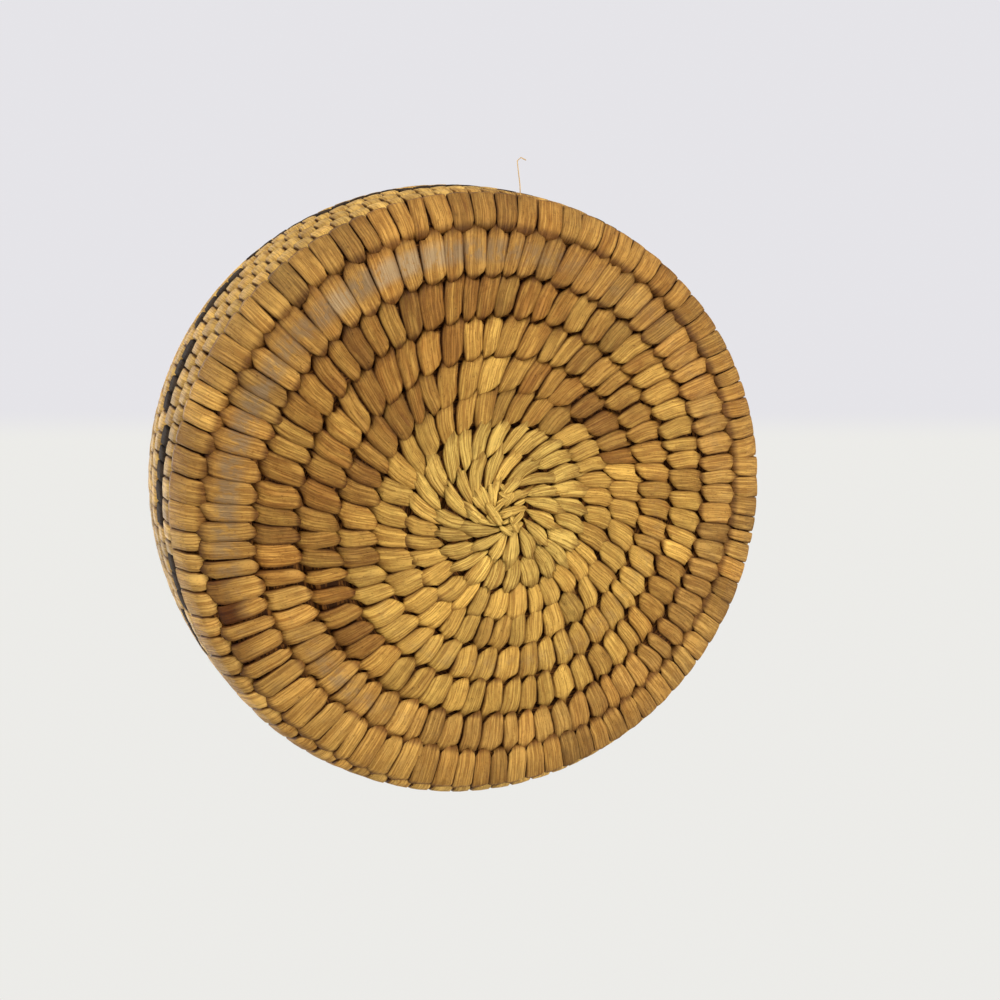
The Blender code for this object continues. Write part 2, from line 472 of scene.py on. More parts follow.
# Strips in one turn of the coil, at the turns where they were counted
STRIPS_PER_TURN = (
    (0.5, 9.0), (1.0, 13.0), (2.0, 22.0), (3.0, 30.0), (4.0, 36.0), (5.0, 45.0), (6.0, 58.0),
    (7.0, 73.0), (8.0, 85.0), (8.6, 92.0), (9.3, 92.0), (9.7, 112.0), (18.0, 112.0),
)
# How far strips lean off the line straight across the coil, in degrees, and how unevenly
LEAN = (
    (0.5, 24.0), (1.5, 22.0), (2.5, 19.0), (3.5, 17.0), (4.5, 15.0), (5.5, 13.0), (6.5, 10.0),
    (7.2, 6.0), (7.5, 6.0), (7.7, 11.0), (7.8, 4.0), (8.25, 1.0), (8.5, 9.0), (8.6, 17.0),
    (8.72, 13.0), (8.85, 4.0), (9.0, 1.0), (18.0, 0.5),
)
LEAN_SPREAD = ((10.0 / 3.0, 4.5), (32.0 / 3.0, 1.2))
LEAN_SWINGS = (Swing(degrees=5.0, side=262.0, last_turn=9.0), Swing(degrees=8.0, side=325.0, last_turn=4.0))
# How brown strips are, from straw at 0: on the base by turn, on the wall, and in the runs that are browner
BROWN = ((3.0, 0.10), (7.0, 0.40))
BROWN_SPREAD = 0.14
MOST_BROWN = 1.1
WALL_FROM = 9.2
WALL_BROWN = 0.16
WALL_BROWN_SPREAD = 0.6
RUN_BROWN = 0.8
RUN_BROWN_SPREAD = 0.8
BROWN_RUNS = (
    BrownRun(0.62, 0.74, 0.5),
    BrownRun(3.64, 3.87, 0.65),
    BrownRun(4.56, 4.73, 0.95),
    BrownRun(4.79, 5.05, 1.0),
    BrownRun(5.45, 5.71, 0.7),
    BrownRun(5.79, 6.12, 1.0),
    BrownRun(6.38, 6.46, 0.9),
    BrownRun(6.72, 7.05, 1.0),
    BrownRun(7.30, 7.46, 0.6),
    BrownRun(8.29, 8.37, 0.7),
    BrownRun(8.72, 8.86, 0.8),
    BrownRun(9.64, 9.78, 0.8),
)
# The base is paler on one side and the corner round on two, given as shares of a turn
PALER = 0.15
PALE_SIDE = 0.30
PALE_SIDE_GROWS = ((4.0, 0.0), (5.0, 1.0))
PALE_CORNER_SIDES = 0.39
CORNER_SIDES_FROM = 8.2
# Wear of the strips, 0 to 1, by turn
WEAR = (
    (0.0, 0.0), (4.8, 0.05), (5.26, 0.35), (5.50, 0.30), (5.65, 0.05), (7.05, 0.10),
    (7.12, 0.55), (7.20, 0.15), (7.70, 0.30), (7.77, 0.60), (7.81, 1.00), (7.86, 0.90),
    (7.89, 0.50), (7.92, 0.72), (7.99, 0.66), (8.03, 0.45), (8.08, 0.25), (8.50, 0.15),
    (9.0, 0.05), (18.0, 0.0),
)
# Where a strip is worn thin on the outer half of the coil: turn and how much of it is gone
TORN = ((8.0355, 0.30), (8.0475, 0.55), (8.0745, 0.25))
# Where a strip is so narrow that brown stems show beside it: turn and the share that it lacks
NARROW = (
    (8.0600, 0.30), (8.0880, 0.28), (8.0240, 0.22), (7.0420, 0.34), (6.0400, 0.34),
    (6.0650, 0.28), (4.6420, 0.25),
)
# How many other strips are narrow, the share that they lack, and how much of that is left past a turn
NARROW_COUNT = 0.03
NARROW_LACK = (0.10, 0.22)
NARROW_UP_TO = 8.5
NARROW_LEFT = 0.4
# Dark blocks that start and end a little away from their solids, in degrees of the coil
DARK_SHIFTS = {
    "dark_stitches_02": (6.5, 3.0),
    "dark_stitches_06": (0.0, 3.5),
    "dark_stitches_07": (4.0, -2.0),
}
# How far a strip is of each kind, by turn: pointed, with its tip over the next round, or blunt
KINDS = {
    "pointed": ((1.2, 1.0), (2.4, 0.0)),
    "tips_over": ((3.0, 1.0), (4.4, 0.0)),
    "blunt": ((7.6, 0.0), (8.5, 1.0)),
}


def by_turn(table: Iterable[tuple[float, float]], turns: Any) -> np.ndarray:
    """A table of (turn, value) read at turns."""
    known = np.array(list(table))
    return np.interp(turns, known[:, 0], known[:, 1])


class SewingPlan:
    """Places every strip on the coil, and says which stretch it belongs to."""

    SEED = 11
    FIRST_TURN = 0.62
    SHORT_OF_RIM = 0.001
    # The end of the centre's stretch, and how far before the corner the outer base's starts, in turns
    CENTRE_END = 3.0
    OUTER_BASE_FROM = 4.0
    # Shares of a strip's width: how uneven it is, how far an edge below pulls it, and the least at the rim
    WIDTH_SPREAD = 0.14
    PULL = 0.12
    LEAST_WIDTH = 0.4
    # Turns past the first strip from which there are edges below
    PULLED_FROM = 0.2
    # Limits of what _gaps works out
    LEAST_RADIUS = 2.0 * MM
    GAP_REACH = 1.2
    GAP_RATES = (0.6, 1.6)

    def __init__(self, path: CoilPath) -> None:
        """Plans the strips.

        Args:
            path: the coil's path.
        """
        self.path = path
        self.random = np.random.default_rng(self.SEED)
        self.stretches = self._stretches()
        edges = self._edges()
        self.turns = 0.5 * (edges[1:] + edges[:-1])
        self.at = path.stations(self.turns)
        self.pitch = math.tau * self.at.radius * (edges[1:] - edges[:-1])
        lean = by_turn(LEAN, self.turns)
        for swing in LEAN_SWINGS:
            fading = by_turn(((swing.last_turn - 1.0, 1.0), (swing.last_turn, 0.0)), self.turns)
            lean += swing.degrees * np.cos(math.tau * self.turns - math.radians(swing.side)) * fading
        lean += self.random.normal(0.0, 1.0, len(self.turns)) * by_turn(LEAN_SPREAD, self.turns)
        self.lean = np.radians(lean)
        self.gap_at, self.gap_rate = self._gaps(edges)

    def _dark_stretches(self) -> list[tuple[float, float]]:
        """Finds the dark blocks of the zigzag.

        Returns:
            (start, end) of each block, in the order in which the coil reaches them.
        """
        sizes = self.path.sizes
        lowest = sizes.corner_turn + 1
        blocks = []
        for step in range(-sizes.stations // 2, sizes.stations // 2):
            away = min(step % sizes.zigzag_steps, -step % sizes.zigzag_steps)
            place = (lowest + away) * sizes.stations + step
            blocks.append([place, place + 1])
        blocks.sort()
        merged = [blocks[0]]
        for block in blocks[1:]:
            if block[0] <= merged[-1][1]:
                merged[-1][1] = block[1]
            else:
                merged.append(block)
        return [(start / sizes.stations, end / sizes.stations) for start, end in merged]

    def _stretches(self) -> list[Stretch]:
        """Divides the coil as the solids do.

        Returns:
            Every stretch with its solid's name, from the centre to the rim.
        """
        sizes = self.path.sizes
        corner = float(sizes.corner_turn)
        inner_end = corner - self.OUTER_BASE_FROM
        dark = []
        for number, (start, end) in enumerate(self._dark_stretches(), start=1):
            name = f"dark_stitches_{number:02d}"
            earlier, later = DARK_SHIFTS.get(name, (0.0, 0.0))
            dark.append(Stretch(name, start + earlier / 360.0, end + later / 360.0, Work.DARK))
        rim_start = sizes.rim_turn - 1.0 - sizes.rim_end_turns
        rim_thins = sizes.rim_turn - sizes.rim_end_turns
        middle = round(0.5 * (dark[-1].end + rim_start) * sizes.stations) / sizes.stations
        light = [
            Stretch("centre_stitches", 0.0, self.CENTRE_END, Work.CENTRE),
            Stretch("inner_base_stitches", self.CENTRE_END, inner_end, Work.BASE),
            Stretch("outer_base_stitches", inner_end, corner - 2.0, Work.BASE),
            Stretch("resting_round_stitches", corner - 2.0, corner - 1.0, Work.WORN),
            Stretch("corner_round_stitches", corner - 1.0, corner, Work.WORN),
            Stretch("lower_wall_stitches", corner, dark[0].start, Work.WALL),
            Stretch("upper_wall_stitches_1", dark[-1].end, middle, Work.WALL),
            Stretch("upper_wall_stitches_2", middle, rim_start, Work.WALL),
            Stretch("rim_stitches", rim_start, rim_thins, Work.WALL),
            Stretch("rim_end_stitches", rim_thins, sizes.rim_turn, Work.WALL),
        ]
        for number, (block, following) in enumerate(zip(dark[:-1], dark[1:]), start=1):
            light.append(Stretch(f"light_stitches_{number:02d}", block.end, following.start, Work.WALL))
        return sorted(light + dark, key=lambda stretch: stretch.start)

    def _edges(self) -> np.ndarray:
        """Places the edges between the strips.

        A strip's middle is drawn a little towards an edge between two strips of the round before it,
        because the maker pushes the needle through there.

        Returns:
            The turns at which each strip gives way to the next.
        """
        edges = [self.FIRST_TURN]
        end = self.path.sizes.rim_turn - self.SHORT_OF_RIM
        while True:
            step = 1.0 / float(by_turn(STRIPS_PER_TURN, edges[-1]))
            width = step * (1.0 + self.random.uniform(-self.WIDTH_SPREAD, self.WIDTH_SPREAD))
            below = edges[-1] + 0.5 * width - 1.0
            if below > self.FIRST_TURN + self.PULLED_FROM:
                index = int(np.argmin(np.abs(np.array(edges) - below)))
                width += min(max(edges[index] - below, -self.PULL * step), self.PULL * step)
            if edges[-1] + width > end - self.LEAST_WIDTH * step:
                return np.array([*edges, end])
            edges.append(edges[-1] + width)

    def _gaps(self, edges: np.ndarray) -> tuple[np.ndarray, np.ndarray]:
        """Where the next round's strips leave a gap over each strip's outer end.

        Args:
            edges: the turns at which each strip gives way to the next.

        Returns:
            The nearest gap's place across the strip, in half widths, and the strip's width as a share
            of the distance between two gaps.
        """
        reach = self.at.half_width * np.tan(self.lean)
        per_turn = math.tau * (self.at.radius + self.at.half_width)
        tops = self.turns - reach / per_turn
        inner_radius = np.maximum(self.at.radius - self.at.half_width, self.LEAST_RADIUS)
        tips = self.turns + reach / (math.tau * inner_radius) - 1.0
        gaps = 0.5 * (tips[1:] + tips[:-1])
        nearest = np.abs(gaps[None, :] - tops[:, None]).argmin(axis=1)
        width = edges[1:] - edges[:-1]
        place = np.clip((gaps[nearest] - tops) / (0.5 * width), -self.GAP_REACH, self.GAP_REACH)
        rate = np.clip(width / (tips[nearest + 1] - tips[nearest]), *self.GAP_RATES)
        known = self.turns < self.turns[-1] - 1.0
        return np.where(known, place, 0.0), np.where(known, rate, 1.0)

    def _brownness(self) -> np.ndarray:
        """Works out how brown each strip is.

        Returns:
            A number for each strip, from straw at 0.
        """
        turns = self.turns
        spread = self.random.normal(0.0, BROWN_SPREAD, len(turns))
        base_side = np.cos(math.tau * (turns - PALE_SIDE)) * by_turn(PALE_SIDE_GROWS, turns)
        corner_sides = np.cos(2.0 * math.tau * (turns - PALE_CORNER_SIDES))
        paler = PALER * np.where(turns < CORNER_SIDES_FROM, base_side, corner_sides)
        brown = by_turn(BROWN, turns) + spread - paler
        brown = np.where(turns > WALL_FROM, WALL_BROWN + WALL_BROWN_SPREAD * spread, brown)
        for run in BROWN_RUNS:
            inside = (turns >= run.start) & (turns <= run.end)
            browner = run.strength * (RUN_BROWN + RUN_BROWN_SPREAD * spread)
            brown = np.where(inside, np.maximum(brown, browner), brown)
        return np.clip(brown, 0.0, MOST_BROWN)

    def columns(self) -> dict[str, np.ndarray]:
        """Gathers what the strip tree reads.

        Returns:
            Arrays by attribute name, with one row for each strip.
        """
        turns, count = self.turns, len(self.turns)
        torn = np.zeros(count)
        chosen = self.random.random(count) < NARROW_COUNT
        narrow = np.where(chosen, self.random.uniform(*NARROW_LACK, count), 0.0)
        narrow = np.where(turns < NARROW_UP_TO, narrow, NARROW_LEFT * narrow)
        for places, values in ((TORN, torn), (NARROW, narrow)):
            for turn, share in places:
                values[int(np.argmin(np.abs(turns - turn)))] = share
        tone = self.random.normal(0.0, 1.0, count)
        return {
            **self.at.columns(),
            **{kind: by_turn(table, turns) for kind, table in KINDS.items()},
            "pitch": self.pitch,
            "slant": np.tan(self.lean),
            "gap_at": self.gap_at,
            "gap_rate": self.gap_rate,
            "torn": torn,
            "narrow": narrow,
            "shade": np.stack([tone, self._brownness(), by_turn(WEAR, turns)], axis=1),
        }


# The Geometry Nodes trees


def add_object(name: str, data: Any) -> bpy.types.Object:
    """Puts an object in the scene.

    Args:
        name: its name.
        data: its mesh, camera or lamp.

    Returns:
        The object.
    """
    obj = bpy.data.objects.new(name, data)
    bpy.context.scene.collection.objects.link(obj)
    return obj


class Tree:
    """A Geometry Nodes tree with named inputs, and the means to run it over points."""

    NAME = ""
    INPUTS: tuple[tuple[str, str, Any], ...] = ()
    KEPT: tuple[str, ...] = ()
    # How softly a piece flattens where it rests on the floor
    FLOOR_EDGE = 0.25 * MM

    def __init__(self) -> None:
        """Makes the tree with its named inputs."""
        self.group = bpy.data.node_groups.new(self.NAME, "GeometryNodeTree")
        face = self.group.interface
        face.new_socket("Geometry", in_out="INPUT", socket_type="NodeSocketGeometry")
        face.new_socket("Geometry", in_out="OUTPUT", socket_type="NodeSocketGeometry")
        for name, kind, value in self.INPUTS:
            socket = face.new_socket(name, in_out="INPUT", socket_type=kind)
            if value is not None:
                socket.default_value = value
        self.graph = Graph(self.group)
        self.given = self.graph.node("NodeGroupInput")
        self.result = self.graph.node("NodeGroupOutput")
        self.build()

    def input(self, name: str) -> Field:
        """One of the tree's named inputs."""
        return Field(self.graph, self.given.outputs[name])

    def build(self) -> None:
        """Adds the tree's nodes."""
        raise NotImplementedError

    def finish(self, geometry: Any) -> None:
        """Smooths the faces, gives them the finish and ends the tree.

        Args:
            geometry: the finished shape.
        """
        smooth = self.graph.field("GeometryNodeSetShadeSmooth", geometry)
        real = self.graph.field("GeometryNodeRealizeInstances", smooth)
        given = {"Geometry": real, "Material": self.input("Finish")}
        self.graph.put(self.result.inputs[0], self.graph.field("GeometryNodeSetMaterial", inputs=given))

    def circle(self, name: str) -> tuple[Field, Field]:
        """A closed curve whose points know their share of the way round.

        Args:
            name: the input that says how many points there are.

        Returns:
            The curve, and the share from 0 to just under 1, still known on what is made from it.
        """
        made = self.graph.field("GeometryNodeCurvePrimitiveCircle", self.input(name), mode="RADIUS")
        share = self.graph.field("GeometryNodeInputIndex") / self.input(name)
        curve, kept = self.keep(made, {"Share": share})
        return curve, kept["Share"]

    def keep(self, geometry: Any, values: dict[str, Field]) -> tuple[Field, dict[str, Field]]:
        """Keeps numbers on each point for what is made from it.

        Args:
            geometry: the points.
            values: the numbers by name.

        Returns:
            The points, and the numbers as they are kept.
        """
        made = self.graph.node("GeometryNodeCaptureAttribute", geometry, domain="POINT")
        for name, value in values.items():
            made.capture_items.new("FLOAT", name)
            self.graph.put(made.inputs[name], value)
        kept = {name: Field(self.graph, made.outputs[name]) for name in values}
        return Field(self.graph, made.outputs["Geometry"]), kept

    def store(self, geometry: Any, name: str, value: Any, kind: str = "FLOAT_VECTOR") -> Field:
        """Writes a value on the points.

        Args:
            geometry: the points.
            name: the value's name.
            value: the value.
            kind: Blender's name of its type.

        Returns:
            The points with the value.
        """
        given = {"Geometry": geometry, "Name": name, "Value": value}
        kinds = {"data_type": kind, "domain": "POINT"}
        return self.graph.field("GeometryNodeStoreNamedAttribute", inputs=given, **kinds)

    def set_position(self, geometry: Any, position: Any) -> Field:
        """Moves every point to a position."""
        given = {"Geometry": geometry, "Position": position}
        return self.graph.field("GeometryNodeSetPosition", inputs=given)

    def on_section(self, x: Field, y: Field) -> Field:
        """A point of the coil's section, which bends with the outline.

        Args:
            x: distance across the coil.
            y: distance out of the bowl's outer face.

        Returns:
            The point.
        """
        graph = self.graph
        outer_side = graph.math("GREATER_THAN", x, 0.0)
        bend_in, bend_out = graph.named("bend_in"), graph.named("bend_out")
        turned = (bend_in + (bend_out - bend_in) * outer_side) * x
        sideways = x + y * graph.math("SINE", turned)
        outwards = y * graph.math("COSINE", turned) - turned * x * 0.5
        across = graph.scaled(graph.named("across", "FLOAT_VECTOR"), sideways)
        outward = graph.scaled(graph.named("outward", "FLOAT_VECTOR"), outwards)
        moved = graph.vector_math("ADD", across, outward)
        return graph.vector_math("ADD", graph.named("centre", "FLOAT_VECTOR"), moved)

    def on_floor(self, position: Field) -> Field:
        """Flattens, with a soft edge, what would reach below the surface that the bowl stands on.

        Args:
            position: a place.

        Returns:
            The place, no lower than the floor.
        """
        x, y, z = self.graph.parts(position)
        size = self.graph.math("SQRT", z * z + self.FLOOR_EDGE**2)
        return self.graph.vector(x, y, (size + z) * 0.5)

    def run(
        self, name: str, mesh: bpy.types.Mesh, finish: bpy.types.Material, **values: Any
    ) -> bpy.types.Object:
        """Runs the tree on a mesh of points and keeps the result as a plain mesh.

        Args:
            name: the finished piece's name.
            mesh: the points, with the attributes that the tree reads.
            finish: the material of the faces.
            values: other inputs by name, with _ for a space.

        Returns:
            The finished object, without a modifier.
        """
        obj = add_object(name, mesh)
        modifier = obj.modifiers.new("Sewing", "NODES")
        modifier.node_group = self.group
        sockets = {
            item.name: item.identifier
            for item in self.group.interface.items_tree
            if item.item_type == "SOCKET" and item.in_out == "INPUT"
        }
        modifier[sockets["Finish"]] = finish
        for key, value in values.items():
            modifier[sockets[key.replace("_", " ").capitalize()]] = value
        depsgraph = bpy.context.evaluated_depsgraph_get()
        evaluated = obj.evaluated_get(depsgraph)
        made = bpy.data.meshes.new_from_object(evaluated, preserve_all_data_layers=True, depsgraph=depsgraph)
        made.name = name
        kept = (*self.KEPT, "sharp_face", "material_index")
        for attribute in [a.name for a in made.attributes]:
            known = made.attributes[attribute]
            if not known.is_internal and not known.is_required and attribute not in kept:
                made.attributes.remove(known)
        obj.modifiers.clear()
        obj.data = made
        bpy.data.meshes.remove(mesh)
        return obj


@dataclass(frozen=True)
class Mix:
    """A number that depends on a strip's kind: its plain value, and what each kind and chance add."""

    plain: float
    pointed: float = 0.0
    tips_over: float = 0.0
    blunt: float = 0.0
    chance: float = 0.0


@dataclass(frozen=True)
class StripPoint:
    """Where a point is on its strip, in values that the strip tree's steps share."""

    # Across and through the coil, from -1 to 1, and how far from its middle, from 0 to 1
    side_x: Field
    side_y: Field
    reach: Field
    # 1 on the inner or outer half of the coil and on the bowl's outer face, else 0
    inner_side: Field
    outer_side: Field
    outer_face: Field
    # Across the strip, from -1 to 1, and through it, 1 on top of its crown
    side: Field
    crown: Field


class StripTree(Tree):
    """Wraps one plump strip of leaf round the coil at every point."""

    NAME = "Sewn strips"
    KEPT = ("strip", "shade", "edge")
    INPUTS = (
        ("Faces along", "NodeSocketInt", 16),
        ("Faces across", "NodeSocketInt", 8),
        ("Thickness", "NodeSocketFloat", 1.15 * MM),
        ("Inner reach", "NodeSocketFloat", 1.5 * MM),
        ("Ragged", "NodeSocketFloat", 0.45 * MM),
        ("Outer reach", "NodeSocketFloat", 0.35 * MM),
        ("Horn", "NodeSocketFloat", 1.5 * MM),
        ("Lift", "NodeSocketFloat", 0.35 * MM),
        ("Inner corner", "NodeSocketFloat", 0.50),
        ("Outer corner", "NodeSocketFloat", 0.45),
        ("Seed", "NodeSocketInt", 5),
        ("Finish", "NodeSocketMaterial", None),
    )
    CHANCES = ("width", "reach", "tilt", "curl", "outer")

    # The strip's own section: powers of its crown and flanks, its underside's share of the crown,
    # how far one flank is higher, and how far the face falls where it is sunk
    CROWN_POWER = Mix(0.58, blunt=-0.28)
    FLANK_POWER = 0.65
    UNDERSIDE = 0.3
    TILT = 0.16
    SINK = 0.2

    # The outer end: a notch under the next round's strips, a horn in the gap between two of them, and
    # where along the coil's half width each starts
    SPLIT = Mix(1.0, blunt=-0.7)
    SPLIT_SPREAD = 0.6
    NOTCH = Mix(0.45, tips_over=-0.40)
    NOTCH_FROM = 0.45
    HORN = Mix(1.0, tips_over=-0.6)
    HORN_FROM = 0.35
    HORN_TOP = 0.75
    TORN_DEPTH = 1.25
    TORN_EDGE = (-0.2, 0.3)

    # How far the ends reach past the coil, and the spikes and the lift of tips that lie over the next round
    TIP_SHORTENS = 0.7 * MM
    TIP_REACH = 0.9 * MM
    TIP_SPREAD = 0.4 * MM
    OUTER_SPREAD = 0.15 * MM
    SPIKE_PLACE = 0.45
    SPIKE_COUNT = Mix(3.6, chance=2.4)
    SPIKES = Mix(0.12, tips_over=1.6)
    SPIKE_SHARE = 0.95
    SPIKES_FROM = 0.6
    TIP_LIFTS = (1.7, 2.6)
    LIFT_EDGE = (0.3, 0.8)

    # The strip's outline: where its tongue rounds off, how the other end narrows, how skew both are, how
    # the strip widens outwards and how much of its pitch it fills
    ROUNDING = Mix(0.58, pointed=-0.24, blunt=0.27, chance=0.06)
    ROUNDING_END = 0.985
    TONGUE_POINT = Mix(0.10, pointed=0.50)
    TONGUE_LEAST = Mix(0.16, blunt=0.70)
    NARROWING = Mix(0.14, tips_over=0.42, blunt=-0.11)
    NARROWING_SPREAD = Mix(0.12, blunt=-0.09)
    NARROWING_FROM = 0.5
    INNER_SKEW = 0.6
    OUTER_SKEW = Mix(-0.3, chance=0.6)
    CALM = Mix(1.0, blunt=-0.6)
    WEDGE = 0.85
    WEDGE_RADIUS = 2.0 * MM
    FULLNESS = Mix(1.06, pointed=0.07, chance=0.04)

    # How the strip bends along its length, in millimetres, and the radius within which it hardly turns
    CURL = Mix(0.35, chance=0.35)
    CURL_SHARE = Mix(0.5, pointed=0.8)
    BOW = Mix(0.40, chance=0.25)
    BOW_SHARE = Mix(1.0, blunt=-1.0)
    HUB = 0.3 * MM

    def build(self) -> None:
        """Adds the nodes: a closed ring of faces at each point, bent into a strip."""
        graph = self.graph
        ring, along = self.circle("Faces along")
        profile, across = self.circle("Faces across")
        tube = graph.field("GeometryNodeCurveToMesh", inputs={"Curve": ring, "Profile Curve": profile})
        seed = self.input("Seed")
        drawn = {name: graph.chance(seed + float(number)) for number, name in enumerate(self.CHANCES)}
        points, chances = self.keep(self.given.outputs["Geometry"], drawn)
        copies = graph.field("GeometryNodeInstanceOnPoints", inputs={"Points": points, "Instance": tube})
        real = graph.field("GeometryNodeRealizeInstances", copies)

        at = self._point(along, across)
        sunk, horn = self._outer_end(at, chances)
        x, y = self._on_coil(at, chances, sunk, horn)
        sideways = self._across(at, chances, x)
        place = self.on_section(x, y)
        turn = -(sideways + self._bend(chances, x)) / (graph.from_axis(place) + self.HUB)
        given = {"Vector": place, "Angle": turn}
        turned = graph.field("ShaderNodeVectorRotate", inputs=given, rotation_type="Z_AXIS")
        moved = self.set_position(real, self.on_floor(turned))
        marked = self.store(moved, "strip", graph.vector(sideways, x, chances["width"]))
        # edge: 1 on the strip's flanks and where it is sunk, 0 on its crown; the finish paints shade by it
        self.finish(self.store(marked, "edge", 1.0 - at.crown * (1.0 - sunk), "FLOAT"))

    def mixed(self, mix: Mix, chance: Any = 0.0) -> Field:
        """A number for each strip.

        Args:
            mix: how it depends on the strip's kind.
            chance: the strip's random number for it.

        Returns:
            The number.
        """
        value = chance * mix.chance + mix.plain
        for kind in KINDS:
            if getattr(mix, kind):
                value = self.graph.named(kind) * getattr(mix, kind) + value
        return value

    def _point(self, along: Field, across: Field) -> StripPoint:
        """Where a point is on its strip.

        Args:
            along: share of the way round the coil's section, from the inner groove.
            across: share of the way round the strip's own section.

        Returns:
            The values that the next steps share.
        """
        graph = self.graph
        around = along * math.tau + math.pi
        cosine, sine = graph.math("COSINE", around), graph.math("SINE", around)
        inner_side = graph.math("LESS_THAN", cosine, 0.0)
        outer_corner = self.input("Outer corner")
        corner = outer_corner + (self.input("Inner corner") - outer_corner) * inner_side
        side_x = graph.power(cosine, corner)

        top_share = (self.input("Faces across") - 2.0) / self.input("Faces across")
        on_top = graph.ramp(across, 0.0, top_share, "LINEAR")
        below = graph.ramp(across, top_share, 1.0, "LINEAR")
        turned = (on_top + below) * math.pi
        crown = graph.math("SINE", turned)
        swell = graph.math("POWER", graph.math("MAXIMUM", crown, 0.0), self.mixed(self.CROWN_POWER))
        return StripPoint(
            side_x=side_x,
            side_y=graph.power(sine, corner),
            reach=graph.math("ABSOLUTE", side_x),
            inner_side=inner_side,
            outer_side=1.0 - inner_side,
            outer_face=graph.math("GREATER_THAN", sine, 0.0),
            side=graph.power(graph.math("COSINE", turned), self.FLANK_POWER),
            crown=swell + graph.math("MINIMUM", crown, 0.0) * self.UNDERSIDE,
        )

    def _outer_end(self, at: StripPoint, chances: dict[str, Field]) -> tuple[Field, Field]:
        """How the strip's outer end gives way to the next round's strips.

        Args:
            at: where the point is on its strip.
            chances: the strip's random numbers.

        Returns:
            How far the face is sunk, and how far it stands out as a horn, as shares.
        """
        graph = self.graph
        from_gap = (at.side - graph.named("gap_at")) * graph.named("gap_rate") * (0.5 * math.pi)
        away = graph.math("ABSOLUTE", graph.math("SINE", from_gap))
        split = (chances["outer"] * self.SPLIT_SPREAD + 1.0) * at.outer_side * self.mixed(self.SPLIT)
        notch = away * away * split * graph.ramp(at.reach, self.NOTCH_FROM, 1.0)
        horn = (self.HORN_TOP - away) * split * graph.ramp(at.reach, self.HORN_FROM, 1.0)
        gone = graph.named("torn") * at.outer_face * graph.ramp(at.side_x, *self.TORN_EDGE)
        sunk = graph.math("MAXIMUM", notch * self.mixed(self.NOTCH), gone * self.TORN_DEPTH)
        return sunk, horn * self.mixed(self.HORN)

    def _on_coil(
        self, at: StripPoint, chances: dict[str, Field], sunk: Field, horn: Field
    ) -> tuple[Field, Field]:
        """Where the point is on the coil's section.

        Args:
            at: where the point is on its strip.
            chances: the strip's random numbers.
            sunk: how far the face is sunk.
            horn: how far it stands out as a horn.

        Returns:
            Its distances across the coil and out of the bowl's outer face.
        """
        graph = self.graph
        tips_over, thickness = graph.named("tips_over"), self.input("Thickness")
        tilt = at.side * chances["tilt"] * self.TILT
        height = thickness * (at.crown * (1.0 - sunk) - sunk * self.SINK + tilt * at.crown)

        shortened = tips_over * (1.0 - graph.named("pointed")) * self.TIP_SHORTENS
        inner_reach = self.input("Inner reach") + self.input("Ragged") * chances["reach"] - shortened
        tip = tips_over * (chances["width"] * self.TIP_SPREAD + self.TIP_REACH)
        outer_reach = self.input("Outer reach") + chances["outer"] * self.OUTER_SPREAD + tip
        longer = inner_reach * at.inner_side + outer_reach * at.outer_side
        pushed = graph.math("SIGN", at.side_x) * height * at.reach
        x = at.side_x * (graph.named("half_width") + longer - thickness) + pushed

        place = at.side + chances["tilt"] * self.SPIKE_PLACE
        prongs = graph.math("COSINE", place * self.mixed(self.SPIKE_COUNT, chances["outer"]))
        spikes = prongs * at.outer_side * self.mixed(self.SPIKES)
        spikes = spikes * graph.ramp(at.reach, self.SPIKES_FROM, 1.0) * self.SPIKE_SHARE
        x = x + (horn + spikes) * self.input("Horn")

        inner_lift, outer_lift = self.TIP_LIFTS
        lifted = at.inner_side + tips_over * (at.outer_side * outer_lift - at.inner_side * inner_lift)
        lift = self.input("Lift") * lifted * at.outer_face * graph.ramp(at.reach, *self.LIFT_EDGE)
        return x, at.side_y * (graph.named("half_thickness") - thickness + height + lift)

    def _across(self, at: StripPoint, chances: dict[str, Field], x: Field) -> Field:
        """How far the point is from the middle of its strip.

        Args:
            at: where the point is on its strip.
            chances: the strip's random numbers.
            x: its distance across the coil.

        Returns:
            The distance.
        """
        graph = self.graph
        start = self.mixed(self.ROUNDING, chances["curl"])
        past = graph.math("MAXIMUM", at.reach - start, 0.0)
        rounded = graph.math("DIVIDE", past, self.ROUNDING_END - start, clamp=True)
        full = graph.math("SQRT", 1.0 - rounded * rounded)
        tongue = full + ((1.0 - rounded) - full) * self.mixed(self.TONGUE_POINT)
        inner_shape = graph.math("MAXIMUM", tongue, self.mixed(self.TONGUE_LEAST))
        narrowing = self.mixed(self.NARROWING) + chances["outer"] * self.mixed(self.NARROWING_SPREAD)
        outer_shape = 1.0 - narrowing * graph.ramp(at.reach, self.NARROWING_FROM, 1.0)
        shape = inner_shape * at.inner_side + outer_shape * at.outer_side

        outer_skew = at.outer_side * self.mixed(self.OUTER_SKEW, chances["tilt"])
        leaning = at.inner_side * self.INNER_SKEW + outer_skew
        skew = (1.0 - shape) * leaning * self.mixed(self.CALM)
        radius = graph.from_axis(graph.named("centre", "FLOAT_VECTOR"))
        wedge = x * self.WEDGE / (radius + self.WEDGE_RADIUS) + 1.0
        fullness = self.mixed(self.FULLNESS, chances["width"]) - graph.named("narrow")
        return (at.side * shape + skew) * graph.named("pitch") * 0.5 * fullness * wedge

